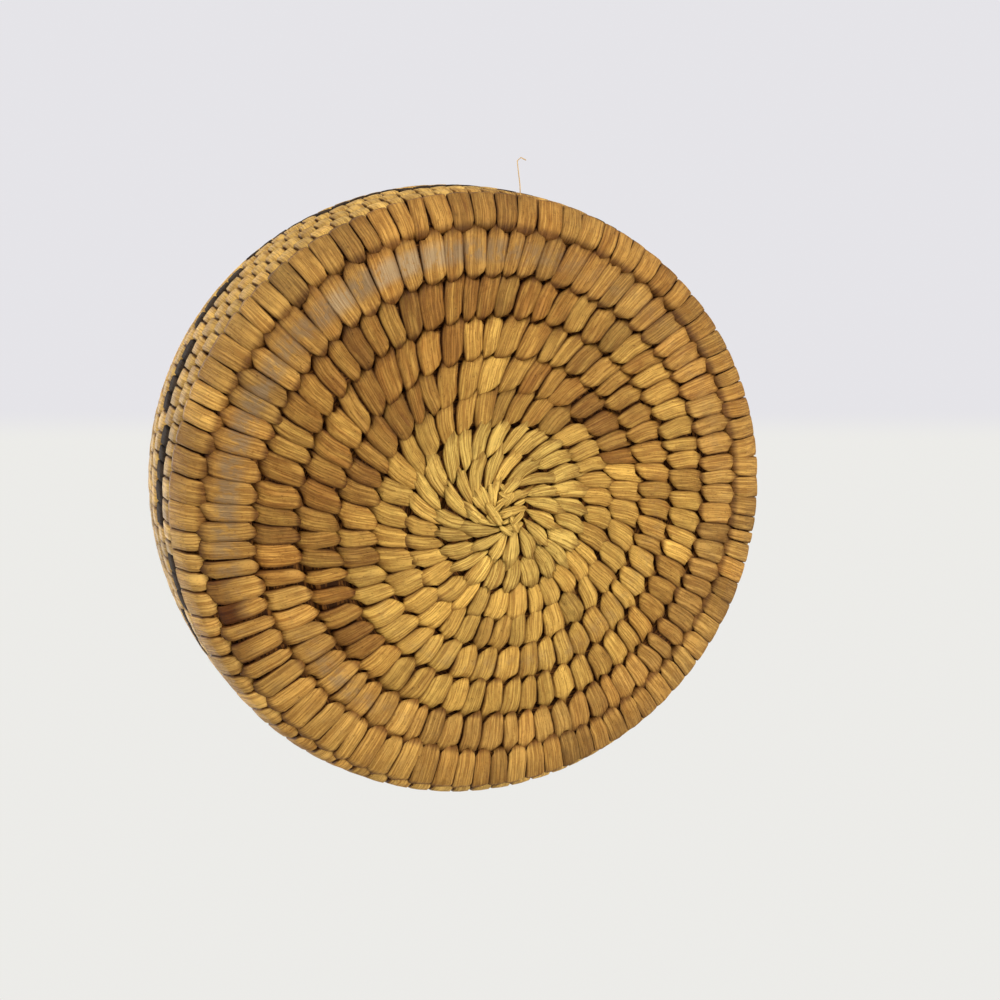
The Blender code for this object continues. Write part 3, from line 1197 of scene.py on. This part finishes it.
    def _bend(self, chances: dict[str, Field], x: Field) -> Field:
        """How far the strip's middle line is moved along the coil.

        Args:
            chances: the strip's random numbers.
            x: distance across the coil.

        Returns:
            The distance.
        """
        graph = self.graph
        share = x / graph.named("half_width")
        inwards = (share - 1.0) * 0.5
        curl = inwards * inwards * self.mixed(self.CURL, chances["curl"]) * MM
        curl = curl * self.mixed(self.CURL_SHARE) * self.mixed(self.CALM)
        middle = 1.0 - graph.math("MINIMUM", share * share, 1.0)
        bow = middle * self.mixed(self.BOW, chances["tilt"]) * MM * self.mixed(self.BOW_SHARE)
        return curl + bow - graph.named("slant") * x


class BundleTree(Tree):
    """Makes the ribbed bundle of grass stems along a line of points."""

    NAME = "Bundle of stems"
    KEPT = ("stem",)
    INPUTS = (
        ("Faces around", "NodeSocketInt", 32),
        ("Stems", "NodeSocketInt", 8),
        ("Cover", "NodeSocketFloat", 1.35 * MM),
        ("Lean", "NodeSocketFloat", 1.15 * MM),
        ("Stem depth", "NodeSocketFloat", 0.09),
        ("Twist", "NodeSocketFloat", 55.0),
        ("Finish", "NodeSocketMaterial", None),
    )
    SIDE_POWER = 0.8
    LEAN_WIDENS = 0.25

    def build(self) -> None:
        """Adds the nodes: a ring of faces swept along the coil, with one rib for each stem."""
        graph = self.graph
        line = graph.field("GeometryNodeMeshToCurve", self.given.outputs["Geometry"])
        profile, share = self.circle("Faces around")
        given = {"Curve": line, "Profile Curve": profile, "Fill Caps": True}
        tube = graph.field("GeometryNodeCurveToMesh", inputs=given)
        around = share * math.tau
        turned = around + graph.named("length") * self.input("Twist")
        rib = graph.math("SINE", turned * self.input("Stems"))
        size = rib * self.input("Stem depth") + 1.0
        width = graph.named("half_width") + self.input("Lean") * self.LEAN_WIDENS
        spread = graph.power(graph.math("COSINE", around), self.SIDE_POWER)
        x = spread * width * size - self.input("Lean")
        y = graph.math("SINE", around) * (graph.named("half_thickness") - self.input("Cover")) * size
        moved = self.set_position(tube, self.on_floor(self.on_section(x, y)))
        self.finish(self.store(moved, "stem", graph.vector(turned, graph.named("length"), rib)))


def add_attribute(mesh: bpy.types.Mesh, name: str, values: np.ndarray) -> None:
    """Writes numbers, or vectors, on a mesh's points under a name."""
    kind, key = ("FLOAT_VECTOR", "vector") if values.ndim == 2 else ("FLOAT", "value")
    mesh.attributes.new(name, kind, "POINT").data.foreach_set(key, values.astype(np.float32).ravel())


def point_mesh(name: str, columns: dict[str, np.ndarray], edges: bool = False) -> bpy.types.Mesh:
    """A mesh of points that carries attributes.

    Args:
        name: the mesh's name.
        columns: arrays by attribute name, with "centre" for the points' places.
        edges: whether each point is joined to the next.

    Returns:
        The mesh.
    """
    mesh = bpy.data.meshes.new(name)
    count = len(columns["centre"])
    pairs = [(index, index + 1) for index in range(count - 1)] if edges else []
    mesh.from_pydata([tuple(point) for point in columns["centre"]], pairs, [])
    for key, values in columns.items():
        add_attribute(mesh, key, values)
    return mesh


# Finishes


def new_material(name: str) -> tuple[bpy.types.Material, Graph]:
    """A new material, and its graph.

    Args:
        name: its name.

    Returns:
        The material and the graph.
    """
    made = bpy.data.materials.new(name)
    made.use_nodes = True
    return made, Graph(made.node_tree)


@dataclass(frozen=True)
class Grain:
    """A layer of noise: how fast it changes along each part of a vector, and how fine it is."""

    scale: tuple[float, float, float]
    detail: float
    roughness: float

    def on(self, graph: Graph, place: Any) -> Field:
        """The layer on a vector.

        Args:
            graph: the material's graph.
            place: the vector.

        Returns:
            The noise, about 0.5.
        """
        given = {"Vector": graph.vector_math("MULTIPLY", place, self.scale), "Scale": 1.0}
        given |= {"Detail": self.detail, "Roughness": self.roughness}
        return graph.field("ShaderNodeTexNoise", inputs=given)


class StripSurface:
    """What a strip's finish reads: a point's place on the strip, the strip's shade, and noise."""

    FIBRES = Grain((2.7, 0.09, 3.1), 5.0, 0.72)
    FIBRE_EDGE = (0.40, 0.56)
    BLOTCHES = Grain((0.45, 0.55, 2.3), 4.0, 0.65)

    def __init__(self, graph: Graph) -> None:
        """Reads the strip's attributes.

        Args:
            graph: the material's graph.
        """
        self.graph = graph
        # Distances across and along in millimetres, and a random number
        self.place = graph.scaled(graph.attribute("strip"), 1.0 / MM)
        _, self.along, self.chance = graph.parts(self.place)
        self.tone, self.brown, self.wear = graph.parts(graph.attribute("shade"))
        # How far a point is off the strip's crown, which sets the painted shade on the flanks
        self.edge = graph.attribute("edge", "Fac")
        self.fine = self.FIBRES.on(graph, self.place)
        self.fibre = graph.ramp(self.fine, *self.FIBRE_EDGE)
        self.blotch = self.BLOTCHES.on(graph, self.place)


@dataclass(frozen=True)
class StripFinish:
    """How strips of leaf look: their colours, fibres, stains and wear, and shade painted at their ends and
    edges.
    """

    name: str
    straw: Colour
    brown: Colour
    worn: Colour = (0.39, 0.272, 0.145)
    grimy: Colour = (0.22, 0.145, 0.075)
    fibre_depth: float = 0.66
    tone_spread: float = 0.12
    # How much shade is painted into the creases, and how much of it goes to the strip's two ends
    dirt: float = 0.95
    ends: float = 0.8
    stains: float = 0.42
    roughness: float = 0.6
    specular: float = 0.18
    bump: float = 0.75
    bump_height: float = 0.14 * MM

    # The leaf: how uneven its brown and its brightness are, and its colour between fibres
    BROAD = Grain((0.7, 0.16, 1.7), 2.0, 0.5)
    BROAD_SPREAD = 1.2
    BLOTCH_SPREAD = 0.7
    FIBRE_SHADE = (0.42, 0.31, 0.18)

    # Its stains, of which there are more towards the strip's outer end and on browner strips
    SPECKS = Grain((2.6, 1.1, 5.3), 2.0, 0.6)
    SPECK_EDGE = (0.64, 0.70)
    SPECK_DEPTH = 0.7
    STAIN_EDGE = (0.58, 0.72)
    STAINS_GROW = (0.5, 4.0)
    OUTER_STAINS = 0.22
    BROWN_STAINS = 0.06
    STAIN_SHADE = (0.42, 0.34, 0.26)

    # Where it is rubbed: scuffs, in a ragged band across the middle of the coil, that leave gaps
    SCUFFS = Grain((0.5, 0.35, 9.0), 4.0, 0.7)
    SCUFF_WEAR = 0.20
    SCUFF_EDGE = (0.48, 0.70)
    WEAR_EDGE = (0.05, 0.75)
    BAND_INNER = (-2.6, -0.2)
    BAND_OUTER = (-1.7, 0.3)
    BAND_RAGGED = 1.6
    FIBRES_LEFT = (0.30, 0.50)
    PALE_WEAR = (0.70, 0.95)
    PALE_CHANCE = 0.08
    PALE_EDGE = (0.40, 0.56)
    RUBBED = 0.80

    # Painted shade at the strip's two ends, in millimetres from the coil's middle, and at its long edges,
    # where the creases fall
    OUTER_DIRT = (2.3, 4.2)
    INNER_DIRT = (4.2, 5.6)
    EDGE_DIRT = (0.0, 0.62)
    DIRT_SHADE = (0.205, 0.098, 0.022)

    def material(self) -> bpy.types.Material:
        """Makes the material.

        Returns:
            The material.
        """
        made, graph = new_material(self.name)
        at = StripSurface(graph)
        shine = {"Roughness": self.roughness, "Specular IOR Level": self.specular}
        colour = self._dirty(at, self._rubbed(at, self._stained(at, self._leaf(at))))
        normal = graph.bump(at.fibre + at.blotch, self.bump, self.bump_height)
        graph.principled({"Base Color": colour, "Normal": normal, **shine})
        return made

    def _leaf(self, at: StripSurface) -> Field:
        """The colour of clean leaf.

        Args:
            at: what the finish reads.

        Returns:
            The colour.
        """
        graph = at.graph
        uneven = (self.BROAD.on(graph, at.place) - 0.5) * self.BROAD_SPREAD
        body = graph.mix_colour(graph.math("ADD", at.brown, uneven, clamp=True), self.straw, self.brown)
        body = graph.darkened((1.0 - at.fibre) * self.fibre_depth, body, self.FIBRE_SHADE)
        level = at.tone * self.tone_spread + (at.blotch - 0.5) * self.BLOTCH_SPREAD + 1.0
        return graph.scaled(body, level)

    def _stained(self, at: StripSurface, body: Field) -> Field:
        """Adds specks and stains.

        Args:
            at: what the finish reads.
            body: the colour so far.

        Returns:
            The stained colour.
        """
        graph = at.graph
        specks = graph.ramp(self.SPECKS.on(graph, at.place), *self.SPECK_EDGE) * self.SPECK_DEPTH
        outer = graph.ramp(at.along, *self.STAINS_GROW) * self.OUTER_STAINS
        stain = graph.ramp(at.blotch + outer + at.brown * self.BROWN_STAINS, *self.STAIN_EDGE)
        return graph.darkened(graph.math("MAXIMUM", specks, stain * self.stains), body, self.STAIN_SHADE)

    def _rubbed(self, at: StripSurface, body: Field) -> Field:
        """Adds the wear.

        Args:
            at: what the finish reads.
            body: the colour so far.

        Returns:
            The worn colour.
        """
        graph = at.graph
        scuff = self.SCUFFS.on(graph, at.place) + at.wear * self.SCUFF_WEAR
        ragged = at.blotch * self.BAND_RAGGED
        inner = graph.ramp(at.along + ragged, *self.BAND_INNER)
        outer = graph.ramp(ragged - at.along, *self.BAND_OUTER)
        worn = graph.ramp(scuff, *self.SCUFF_EDGE) * graph.ramp(at.wear, *self.WEAR_EDGE)
        worn = worn * inner * outer * graph.ramp(at.fine, *self.FIBRES_LEFT)
        patchy = graph.ramp(at.blotch + at.chance * self.PALE_CHANCE, *self.PALE_EDGE)
        rubbed = graph.mix_colour(graph.ramp(at.wear, *self.PALE_WEAR) * patchy, self.grimy, self.worn)
        return graph.mix_colour(worn * self.RUBBED, body, rubbed)

    def _dirty(self, at: StripSurface, body: Field) -> Field:
        """Adds painted shade: darker towards the strip's two ends and its long edges, where the creases
        fall.

        Args:
            at: what the finish reads.
            body: the colour so far.

        Returns:
            The colour with the painted shade.
        """
        graph = at.graph
        # Painted shade: darker towards both ends of the strip and on its flanks, where the creases fall
        outer, inner = graph.ramp(at.along, *self.OUTER_DIRT), graph.ramp(-at.along, *self.INNER_DIRT)
        ends = graph.math("MAXIMUM", outer, inner) * self.ends
        dirt = graph.math("MAXIMUM", ends, graph.ramp(at.edge, *self.EDGE_DIRT))
        return graph.darkened(dirt * self.dirt, body, self.DIRT_SHADE)


@dataclass(frozen=True)
class StemFinish:
    """How the bundle's grass stems look."""

    name: str = "Brown grass stems"
    light: Colour = (0.21, 0.080, 0.016)
    dark: Colour = (0.034, 0.0115, 0.003)
    roughness: float = 0.75
    specular: float = 0.08
    bump: float = 0.5
    bump_height: float = 0.15 * MM

    GRAIN = Grain((8.0, 90.0, 0.0), 3.0, 0.6)
    RIB_SHARE = 0.10
    LIGHT_EDGE = (0.42, 0.68)

    def material(self) -> bpy.types.Material:
        """Makes the material.

        Returns:
            The material.
        """
        made, graph = new_material(self.name)
        stem = graph.attribute("stem")
        grain = self.GRAIN.on(graph, stem)
        share = graph.ramp(grain + graph.parts(stem)[2] * self.RIB_SHARE, *self.LIGHT_EDGE)
        shine = {"Roughness": self.roughness, "Specular IOR Level": self.specular}
        normal = graph.bump(grain, self.bump, self.bump_height)
        colour = graph.mix_colour(share, self.dark, self.light)
        graph.principled({"Base Color": colour, "Normal": normal, **shine})
        return made


# The centre and the wall get less painted shade at the strips' ends, and the wall less in its creases
FINISHES = {
    Work.CENTRE: StripFinish(
        "Straw strips of the centre", (0.67, 0.430, 0.096), (0.38, 0.18, 0.030), fibre_depth=0.8, ends=0.3
    ),
    Work.BASE: StripFinish("Straw strips of the base", (0.60, 0.350, 0.070), (0.30, 0.130, 0.020)),
    Work.WORN: StripFinish("Worn strips of the foot", (0.57, 0.315, 0.068), (0.30, 0.128, 0.019)),
    Work.WALL: StripFinish(
        "Straw strips of the wall", (0.70, 0.425, 0.108), (0.40, 0.19, 0.036), dirt=0.80, ends=0.35
    ),
    Work.DARK: StripFinish(
        "Dark strips of the pattern",
        (0.050, 0.032, 0.020),
        (0.026, 0.016, 0.010),
        roughness=0.85,
        specular=0.08,
    ),
}
FIBRE_FINISH = StripFinish("Pale loose fibre", (0.58, 0.36, 0.12), (0.36, 0.19, 0.05))


# The pieces


def register(obj: bpy.types.Object, slot: str, *nodes: str) -> None:
    """Puts a finished piece on the bowl.

    Args:
        obj: the piece.
        slot: the name of the record's slot for the piece; not used.
        nodes: the solids that it stands for.
    """
    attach(obj, BODY)
    if nodes:
        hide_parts(*nodes)
    LOG.info("%s: %d faces", obj.name, len(obj.data.polygons))


@dataclass(frozen=True)
class StripForm:
    """How plump and how square strips are, as the strip tree's inputs."""

    faces_along: int = 20
    faces_across: int = 10
    thickness: float = 1.35 * MM
    inner_reach: float = 1.9 * MM
    outer_reach: float = 0.5 * MM
    horn: float = 1.7 * MM
    lift: float = 0.35 * MM
    inner_corner: float = 0.46
    outer_corner: float = 0.74


CORNER_FORM = StripForm(
    faces_along=18,
    faces_across=8,
    thickness=0.9 * MM,
    inner_reach=1.4 * MM,
    outer_reach=0.4 * MM,
    horn=0.9 * MM,
    lift=0.1 * MM,
    inner_corner=0.40,
    outer_corner=0.45,
)
WALL_FORM = StripForm(
    faces_along=14,
    faces_across=6,
    thickness=0.7 * MM,
    inner_reach=0.8 * MM,
    outer_reach=0.25 * MM,
    horn=0.3 * MM,
    lift=0.0,
    inner_corner=0.44,
    outer_corner=0.44,
)


@dataclass
class SewnCover:
    """The strips over every stretch of the coil: plump under the base, flat on the wall."""

    path: CoilPath
    base: StripForm = StripForm()
    corner: StripForm = CORNER_FORM
    wall: StripForm = WALL_FORM

    def form(self, stretch: Stretch) -> StripForm:
        """The form of a stretch's strips.

        Args:
            stretch: the stretch of the coil.

        Returns:
            Its strips' form.
        """
        if stretch.start >= self.path.sizes.corner_turn:
            return self.wall
        return self.corner if stretch.start >= self.path.sizes.corner_turn - 1 else self.base

    def build(self) -> None:
        """Makes the strips of each stretch as one piece."""
        plan = SewingPlan(self.path)
        tree = StripTree()
        materials = {work: finish.material() for work, finish in FINISHES.items()}
        columns = plan.columns()
        for stretch in plan.stretches:
            inside = (plan.turns >= stretch.start) & (plan.turns < stretch.end)
            mesh = point_mesh(stretch.node, {key: values[inside] for key, values in columns.items()})
            sizes = asdict(self.form(stretch))
            obj = tree.run(f"{stretch.node}_strips", mesh, materials[stretch.work], **sizes)
            register(obj, stretch.work.value, stretch.node)


@dataclass
class Foundation:
    """The bundle of grass that the strips cover."""

    path: CoilPath
    stations_per_turn: int = 84
    short_of_rim: float = 0.002

    def build(self) -> None:
        """Makes the bundle as one ribbed tube from the knot to the rim's end."""
        sizes = self.path.sizes
        count = round((sizes.rim_turn - sizes.start_turn) * self.stations_per_turn) + 1
        at = self.path.stations(np.linspace(sizes.start_turn, sizes.rim_turn - self.short_of_rim, count))
        steps = np.linalg.norm(np.diff(at.centre, axis=0), axis=1)
        length = np.concatenate([[0.0], np.cumsum(steps)])
        mesh = point_mesh("foundation_line", {**at.columns(), "length": length}, edges=True)
        obj = BundleTree().run("foundation_bundle", mesh, StemFinish().material())
        register(obj, "grass_bundle", "foundation_coil")


class Tubes:
    """Gathers closed tubes in one mesh."""

    def __init__(self) -> None:
        """Starts with none."""
        self.points: list[Vector] = []
        self.faces: list[tuple[int, ...]] = []

    def add(self, rings: list[list[Vector]]) -> None:
        """Adds a tube and closes its ends.

        Args:
            rings: the rings of points along it, with as many points in each.
        """
        first, sides = len(self.points), len(rings[0])
        for ring in rings:
            self.points += ring
        last = len(self.points) - sides
        for low in range(first, last, sides):
            high = low + sides
            for corner in range(sides):
                beside = (corner + 1) % sides
                self.faces.append((low + corner, low + beside, high + beside, high + corner))
        self.faces.append(tuple(reversed(range(first, first + sides))))
        self.faces.append(tuple(range(last, last + sides)))

    def build(self, name: str, finish: bpy.types.Material) -> bpy.types.Object:
        """Makes the object.

        Args:
            name: the piece's name.
            finish: its material.

        Returns:
            The object.
        """
        mesh = bpy.data.meshes.new(name)
        mesh.from_pydata([tuple(point) for point in self.points], [], self.faces)
        mesh.materials.append(finish)
        mesh.shade_smooth()
        return add_object(name, mesh)


@dataclass(frozen=True)
class Leaf:
    """A short loose strip, a closed lens: its two ends, its width, its arch and its depth's share."""

    start: Vector
    end: Vector
    width: float
    arch: float
    depth: float = 0.32

    OUT = Vector((0.0, 0.0, -1.0))
    RINGS = 8
    SIDES = 8
    SWELL_POWER = 0.8
    TIP = 0.10

    def rings(self, chance: float) -> tuple[list[list[Vector]], list[tuple[float, float, float]]]:
        """The strip's points.

        Args:
            chance: its random number, for the finish.

        Returns:
            The rings of points, and (distance across, distance along, random number) of each point.
        """
        direction = self.end - self.start
        length = direction.length
        direction.normalize()
        side = self.OUT.cross(direction).normalized()
        rings, marks = [], []
        for number in range(self.RINGS + 1):
            share = number / self.RINGS
            swell = math.sqrt(max(1.0 - (2.0 * share - 1.0) ** 2, 0.0))
            half = 0.5 * self.width * max(swell**self.SWELL_POWER, self.TIP)
            middle = self.start + direction * (length * share) + self.OUT * (self.arch * swell)
            ring = []
            for corner in range(self.SIDES):
                angle = math.tau * corner / self.SIDES
                sideways = half * math.cos(angle)
                ring.append(middle + side * sideways + self.OUT * (self.depth * half * math.sin(angle)))
                marks.append((sideways, length * (share - 0.5), chance))
            rings.append(ring)
        return rings, marks


@dataclass
class StartKnot:
    """The untidy tie at the centre: short strips that cross each other over a wound core."""

    path: CoilPath
    # (x, y of one end; x, y of the other; width; height above the coil), in millimetres, seen from below
    crossing: tuple[tuple[float, ...], ...] = (
        (-2.2, 0.4, 5.2, 1.5, 2.3, 0.9),
        (-5.3, 3.3, -1.2, -2.4, 2.4, 1.1),
        (-6.7, 7.2, -4.3, 2.0, 1.8, 0.5),
        (-2.7, 2.3, 1.7, 5.2, 2.0, 0.8),
        (-4.4, 7.8, -3.6, 3.2, 1.7, 0.4),
        (-1.9, 7.4, -0.6, 5.8, 1.3, 0.5),
        (-8.5, 4.9, -5.9, 2.0, 2.0, 0.3),
        (-9.7, 1.6, -6.2, -1.3, 2.3, 0.4),
        (-1.0, -1.9, 2.5, -0.6, 1.4, 0.6),
        (-0.6, 2.0, 1.6, 4.9, 1.0, 1.0),
        (0.6, 0.2, 3.4, -1.4, 1.5, 0.6),
        (-3.6, 1.0, -1.0, 3.4, 1.1, 1.3),
        (-2.4, 5.6, 0.4, 3.9, 1.0, 1.2),
        (1.8, 2.2, 4.6, 3.4, 1.3, 0.8),
        (-4.9, 0.3, -2.6, -1.9, 1.4, 0.7),
        (-1.4, -0.4, 1.4, 0.9, 1.2, 1.4),
        (-0.4, -3.3, 4.4, -2.1, 1.9, 1.0),
        (0.9, -0.1, 3.1, -4.3, 1.7, 1.3),
        (4.2, 0.8, 1.0, -2.4, 1.4, 1.5),
        (-1.6, -2.6, 1.9, -4.9, 1.5, 0.9),
    )
    turn: float = 0.8
    sunk: float = 0.9
    arch: float = 0.35 * MM
    core_radius: float = 4.8 * MM
    core_azimuths: tuple[float, ...] = (0.3, 1.4, 2.4)
    core_width: float = 1.6
    core_depth: float = 0.55
    # Tone, brownness and wear of its strips, and how their random numbers spread
    shade: tuple[float, float, float] = (0.2, 0.05, 0.05)
    chance_step: float = 0.62
    chance_span: float = 1.7

    def _leaves(self) -> list[Leaf]:
        """Places the knot's strips.

        Returns:
            The crossing strips, then those of the core.
        """
        view = Photograph()
        height = self.path.stations(np.array([self.turn])).centre[0][2]
        level = height - 0.5 * self.path.sizes.thickness
        leaves = []
        for x0, y0, x1, y1, width, above in self.crossing:
            ends = []
            for x, y in ((x0, y0), (x1, y1)):
                flat = view.right * (x * MM) + view.up * (y * MM)
                ends.append(Vector((flat.x, flat.y, level - (above - self.sunk) * MM)))
            leaves.append(Leaf(*ends, width * MM, self.arch))
        middle = Vector((0.0, 0.0, height))
        for azimuth in self.core_azimuths:
            reach = Vector((math.cos(azimuth), math.sin(azimuth), 0.0)) * self.core_radius
            width = self.core_width * self.core_radius
            leaves.append(Leaf(middle - reach, middle + reach, width, 0.0, self.core_depth))
        return leaves

    def build(self) -> None:
        """Makes the knot as one piece."""
        tubes, strip = Tubes(), []
        for number, leaf in enumerate(self._leaves()):
            chance = number * self.chance_step % self.chance_span - 0.5 * self.chance_span
            rings, marks = leaf.rings(chance * MM)
            tubes.add(rings)
            strip += marks
        obj = tubes.build("start_knot_strips", FINISHES[Work.CENTRE].material())
        shade, edge = [self.shade] * len(strip), [0.0] * len(strip)
        for name, rows in (("strip", strip), ("shade", shade), ("edge", edge)):
            add_attribute(obj.data, name, np.array(rows))
        register(obj, Work.CENTRE.value, "start_knot")


@dataclass
class LooseFibre:
    """A hair-like fibre that stands off the edge."""

    path: CoilPath
    turn: float = 8.745
    # (turns past its own, x, y) of the points that it passes, x and y in millimetres
    line: tuple[tuple[float, float, float], ...] = (
        (0.0, 2.0, 2.6),
        (0.0002, 3.4, 5.2),
        (0.0004, 4.8, 7.8),
        (0.0002, 5.8, 10.0),
        (-0.0022, 6.4, 11.0),
        (-0.0046, 6.3, 10.6),
    )
    radius: float = 0.11 * MM
    sides: int = 6

    def build(self) -> None:
        """Makes the fibre as one thin closed tube."""
        line = [self.path.point(self.turn + past, x * MM, y * MM) for past, x, y in self.line]
        rings = []
        for index, place in enumerate(line):
            ahead = (line[min(index + 1, len(line) - 1)] - line[max(index - 1, 0)]).normalized()
            side = ahead.orthogonal().normalized()
            other = ahead.cross(side)
            angles = [math.tau * corner / self.sides for corner in range(self.sides)]
            spokes = [side * math.cos(angle) + other * math.sin(angle) for angle in angles]
            rings.append([place + spoke * self.radius for spoke in spokes])
        tubes = Tubes()
        tubes.add(rings)
        register(tubes.build("loose_fibre", FIBRE_FINISH.material()), Work.WORN.value)


# The studio


class Photograph:
    """Where the photograph's camera stood, from the outline of the base in it."""

    TILT = math.radians(20.20)
    TILT_DIRECTION = math.radians(-29.16)
    FOCAL_PIXELS = 746.0
    IMAGE_PIXELS = 1000.0
    DISTANCE = 170.4 * MM
    BASE_CENTRE = (508.6, 516.6)
    AZIMUTH_OF_RIGHT = math.radians(65.5)
    SENSOR_MM = 36.0
    CLIP = (0.005, 20.0)

    def __init__(self) -> None:
        """Works out the camera's place and its directions."""
        tilted, turned = self.TILT_DIRECTION, self.AZIMUTH_OF_RIGHT
        flat = Vector((math.cos(tilted), math.sin(tilted), 0.0)) * math.sin(self.TILT)
        below = flat + Vector((0.0, 0.0, math.cos(self.TILT)))
        first = (Vector((1.0, 0.0, 0.0)) - below * below.x).normalized()
        second = below.cross(first)
        first_world = Vector((math.cos(turned), math.sin(turned), 0.0))
        second_world = Vector((math.sin(turned), -math.cos(turned), 0.0))
        down = Vector((0.0, 0.0, -1.0))
        axes = ((first, first_world), (second, second_world), (below, down))
        self.right, self.up, self.back = (
            sum((world * seen[axis] for seen, world in axes), Vector()) for axis in range(3)
        )
        half = 0.5 * self.IMAGE_PIXELS
        x = (self.BASE_CENTRE[0] - half) / self.FOCAL_PIXELS
        y = (half - self.BASE_CENTRE[1]) / self.FOCAL_PIXELS
        self.place = (self.back - self.right * x - self.up * y) * self.DISTANCE

    def camera(self) -> None:
        """Makes the scene's camera."""
        data = bpy.data.cameras.new("Camera")
        data.sensor_width = self.SENSOR_MM
        data.lens = self.SENSOR_MM * self.FOCAL_PIXELS / self.IMAGE_PIXELS
        data.clip_start, data.clip_end = self.CLIP
        obj = add_object("Camera", data)
        axes = Matrix((self.right, self.up, self.back)).transposed()
        obj.matrix_world = Matrix.Translation(self.place) @ axes.to_4x4()
        bpy.context.scene.camera = obj


@dataclass(frozen=True)
class SoftLamp:
    """A large square lamp that points at the bowl."""

    name: str
    direction: Vector
    distance: float
    size: float
    power: float

    def build(self) -> None:
        """Makes the lamp, which the camera doesn't see."""
        data = bpy.data.lights.new(self.name, "AREA")
        data.shape = "SQUARE"
        data.size = self.size
        data.energy = self.power
        obj = add_object(self.name, data)
        towards = self.direction.normalized()
        turn = towards.to_track_quat("Z", "Y").to_matrix().to_4x4()
        obj.matrix_world = Matrix.Translation(towards * self.distance) @ turn
        obj.visible_camera = False


@dataclass
class Studio:
    """The pale floor, the backdrop colours, the lamps and the camera."""

    floor_size: float = 6.0
    floor_colour: Colour = (0.70, 0.70, 0.69)
    floor_roughness: float = 0.9
    # Distances from the bowl between which the floor fades out, in metres
    floor_seen: tuple[float, float] = (0.22, 0.75)
    # The backdrop's two colours, where they meet, and how far up the camera has to look for the second
    backdrop: tuple[Colour, Colour] = ((0.84, 0.835, 0.81), (0.785, 0.777, 0.81))
    horizon: float = 0.101
    horizon_edge: tuple[float, float] = (-0.02, 0.02)
    looks_up: tuple[float, float] = (0.46, 0.62)
    ambient: float = 0.38

    def build(self) -> None:
        """Makes all of it."""
        view = Photograph()
        self._floor()
        self._world(view)
        for lamp in self._lamps(view):
            lamp.build()
        view.camera()
        bpy.context.scene.view_settings.view_transform = "Standard"

    def _lamps(self, view: Photograph) -> tuple[SoftLamp, ...]:
        """The lamps, by the photograph's own directions.

        Args:
            view: where the photograph's camera stood.

        Returns:
            The lamps.
        """
        window = view.up * 0.9 + view.back * 0.8 + view.right * 0.25
        fill = view.back + view.right * 1.05 - view.up * 0.45
        left = view.back * 0.35 - view.right * 1.2 + view.up * 0.25
        overhead = Vector((-0.35, -0.3, 1.0))
        return (
            SoftLamp("Window from above the photograph", window, distance=0.75, size=0.7, power=5.5),
            SoftLamp("Fill from the camera's side", fill, distance=0.9, size=0.8, power=7.6),
            SoftLamp("Weak light from the left", left, distance=0.9, size=0.8, power=3.6),
            SoftLamp("Studio light overhead", overhead, distance=0.95, size=0.9, power=9.0),
        )

    def _floor(self) -> None:
        """A floor that shows only from above, so that the bowl can be seen from below through it.

        Far from the bowl it gives way to the backdrop.
        """
        half = 0.5 * self.floor_size
        corners = [(-half, -half, 0.0), (half, -half, 0.0), (half, half, 0.0), (-half, half, 0.0)]
        mesh = bpy.data.meshes.new("floor")
        mesh.from_pydata(corners, [], [(0, 1, 2, 3)])
        finish, graph = new_material("Pale floor")
        graph.principled({"Base Color": (*self.floor_colour, 1.0), "Roughness": self.floor_roughness})
        seen = graph.field("ShaderNodeLightPath", output="Is Camera Ray")
        from_below = graph.field("ShaderNodeNewGeometry", output="Backfacing")
        place = graph.field("ShaderNodeTexCoord", output="Object")
        far = graph.ramp(graph.vector_math("LENGTH", place), *self.floor_seen)
        clear = graph.field("ShaderNodeBsdfTransparent")
        pale = graph.tree.nodes["Principled BSDF"].outputs[0]
        graph.end("Material Output", seen * (1.0 - from_below) * (1.0 - far), clear, pale)
        mesh.materials.append(finish)
        obj = add_object("floor", mesh)

    def _world(self, view: Photograph) -> None:
        """Even light from all round, and the two pale colours behind the bowl.

        Args:
            view: where the photograph's camera stood.
        """
        world = bpy.data.worlds.new("Studio")
        bpy.context.scene.world = world
        world.use_nodes = True
        graph = Graph(world.node_tree)
        even = graph.tree.nodes["Background"]
        graph.put(even.inputs["Color"], (1.0, 1.0, 1.0, 1.0))
        graph.put(even.inputs["Strength"], self.ambient)
        direction = graph.field("ShaderNodeTexCoord", output="Generated")
        edge = view.up + view.back * self.horizon
        above = graph.ramp(graph.vector_math("DOT_PRODUCT", direction, tuple(edge)), *self.horizon_edge)
        upwards = graph.ramp(graph.parts(direction)[2], *self.looks_up)
        seen = graph.field("ShaderNodeBackground", graph.mix_colour(above * upwards, *self.backdrop))
        camera_ray = graph.field("ShaderNodeLightPath", output="Is Camera Ray")
        graph.end("World Output", camera_ray, even.outputs[0], seen)


def main() -> None:
    """Builds the bowl's looks and the studio."""
    logging.basicConfig(level=logging.INFO, format="%(name)s: %(message)s")
    path = CoilPath(CoilSizes())
    SewnCover(path).build()
    Foundation(path).build()
    StartKnot(path).build()
    LooseFibre(path).build()
    Studio().build()


if __name__ == "__main__":
    main()
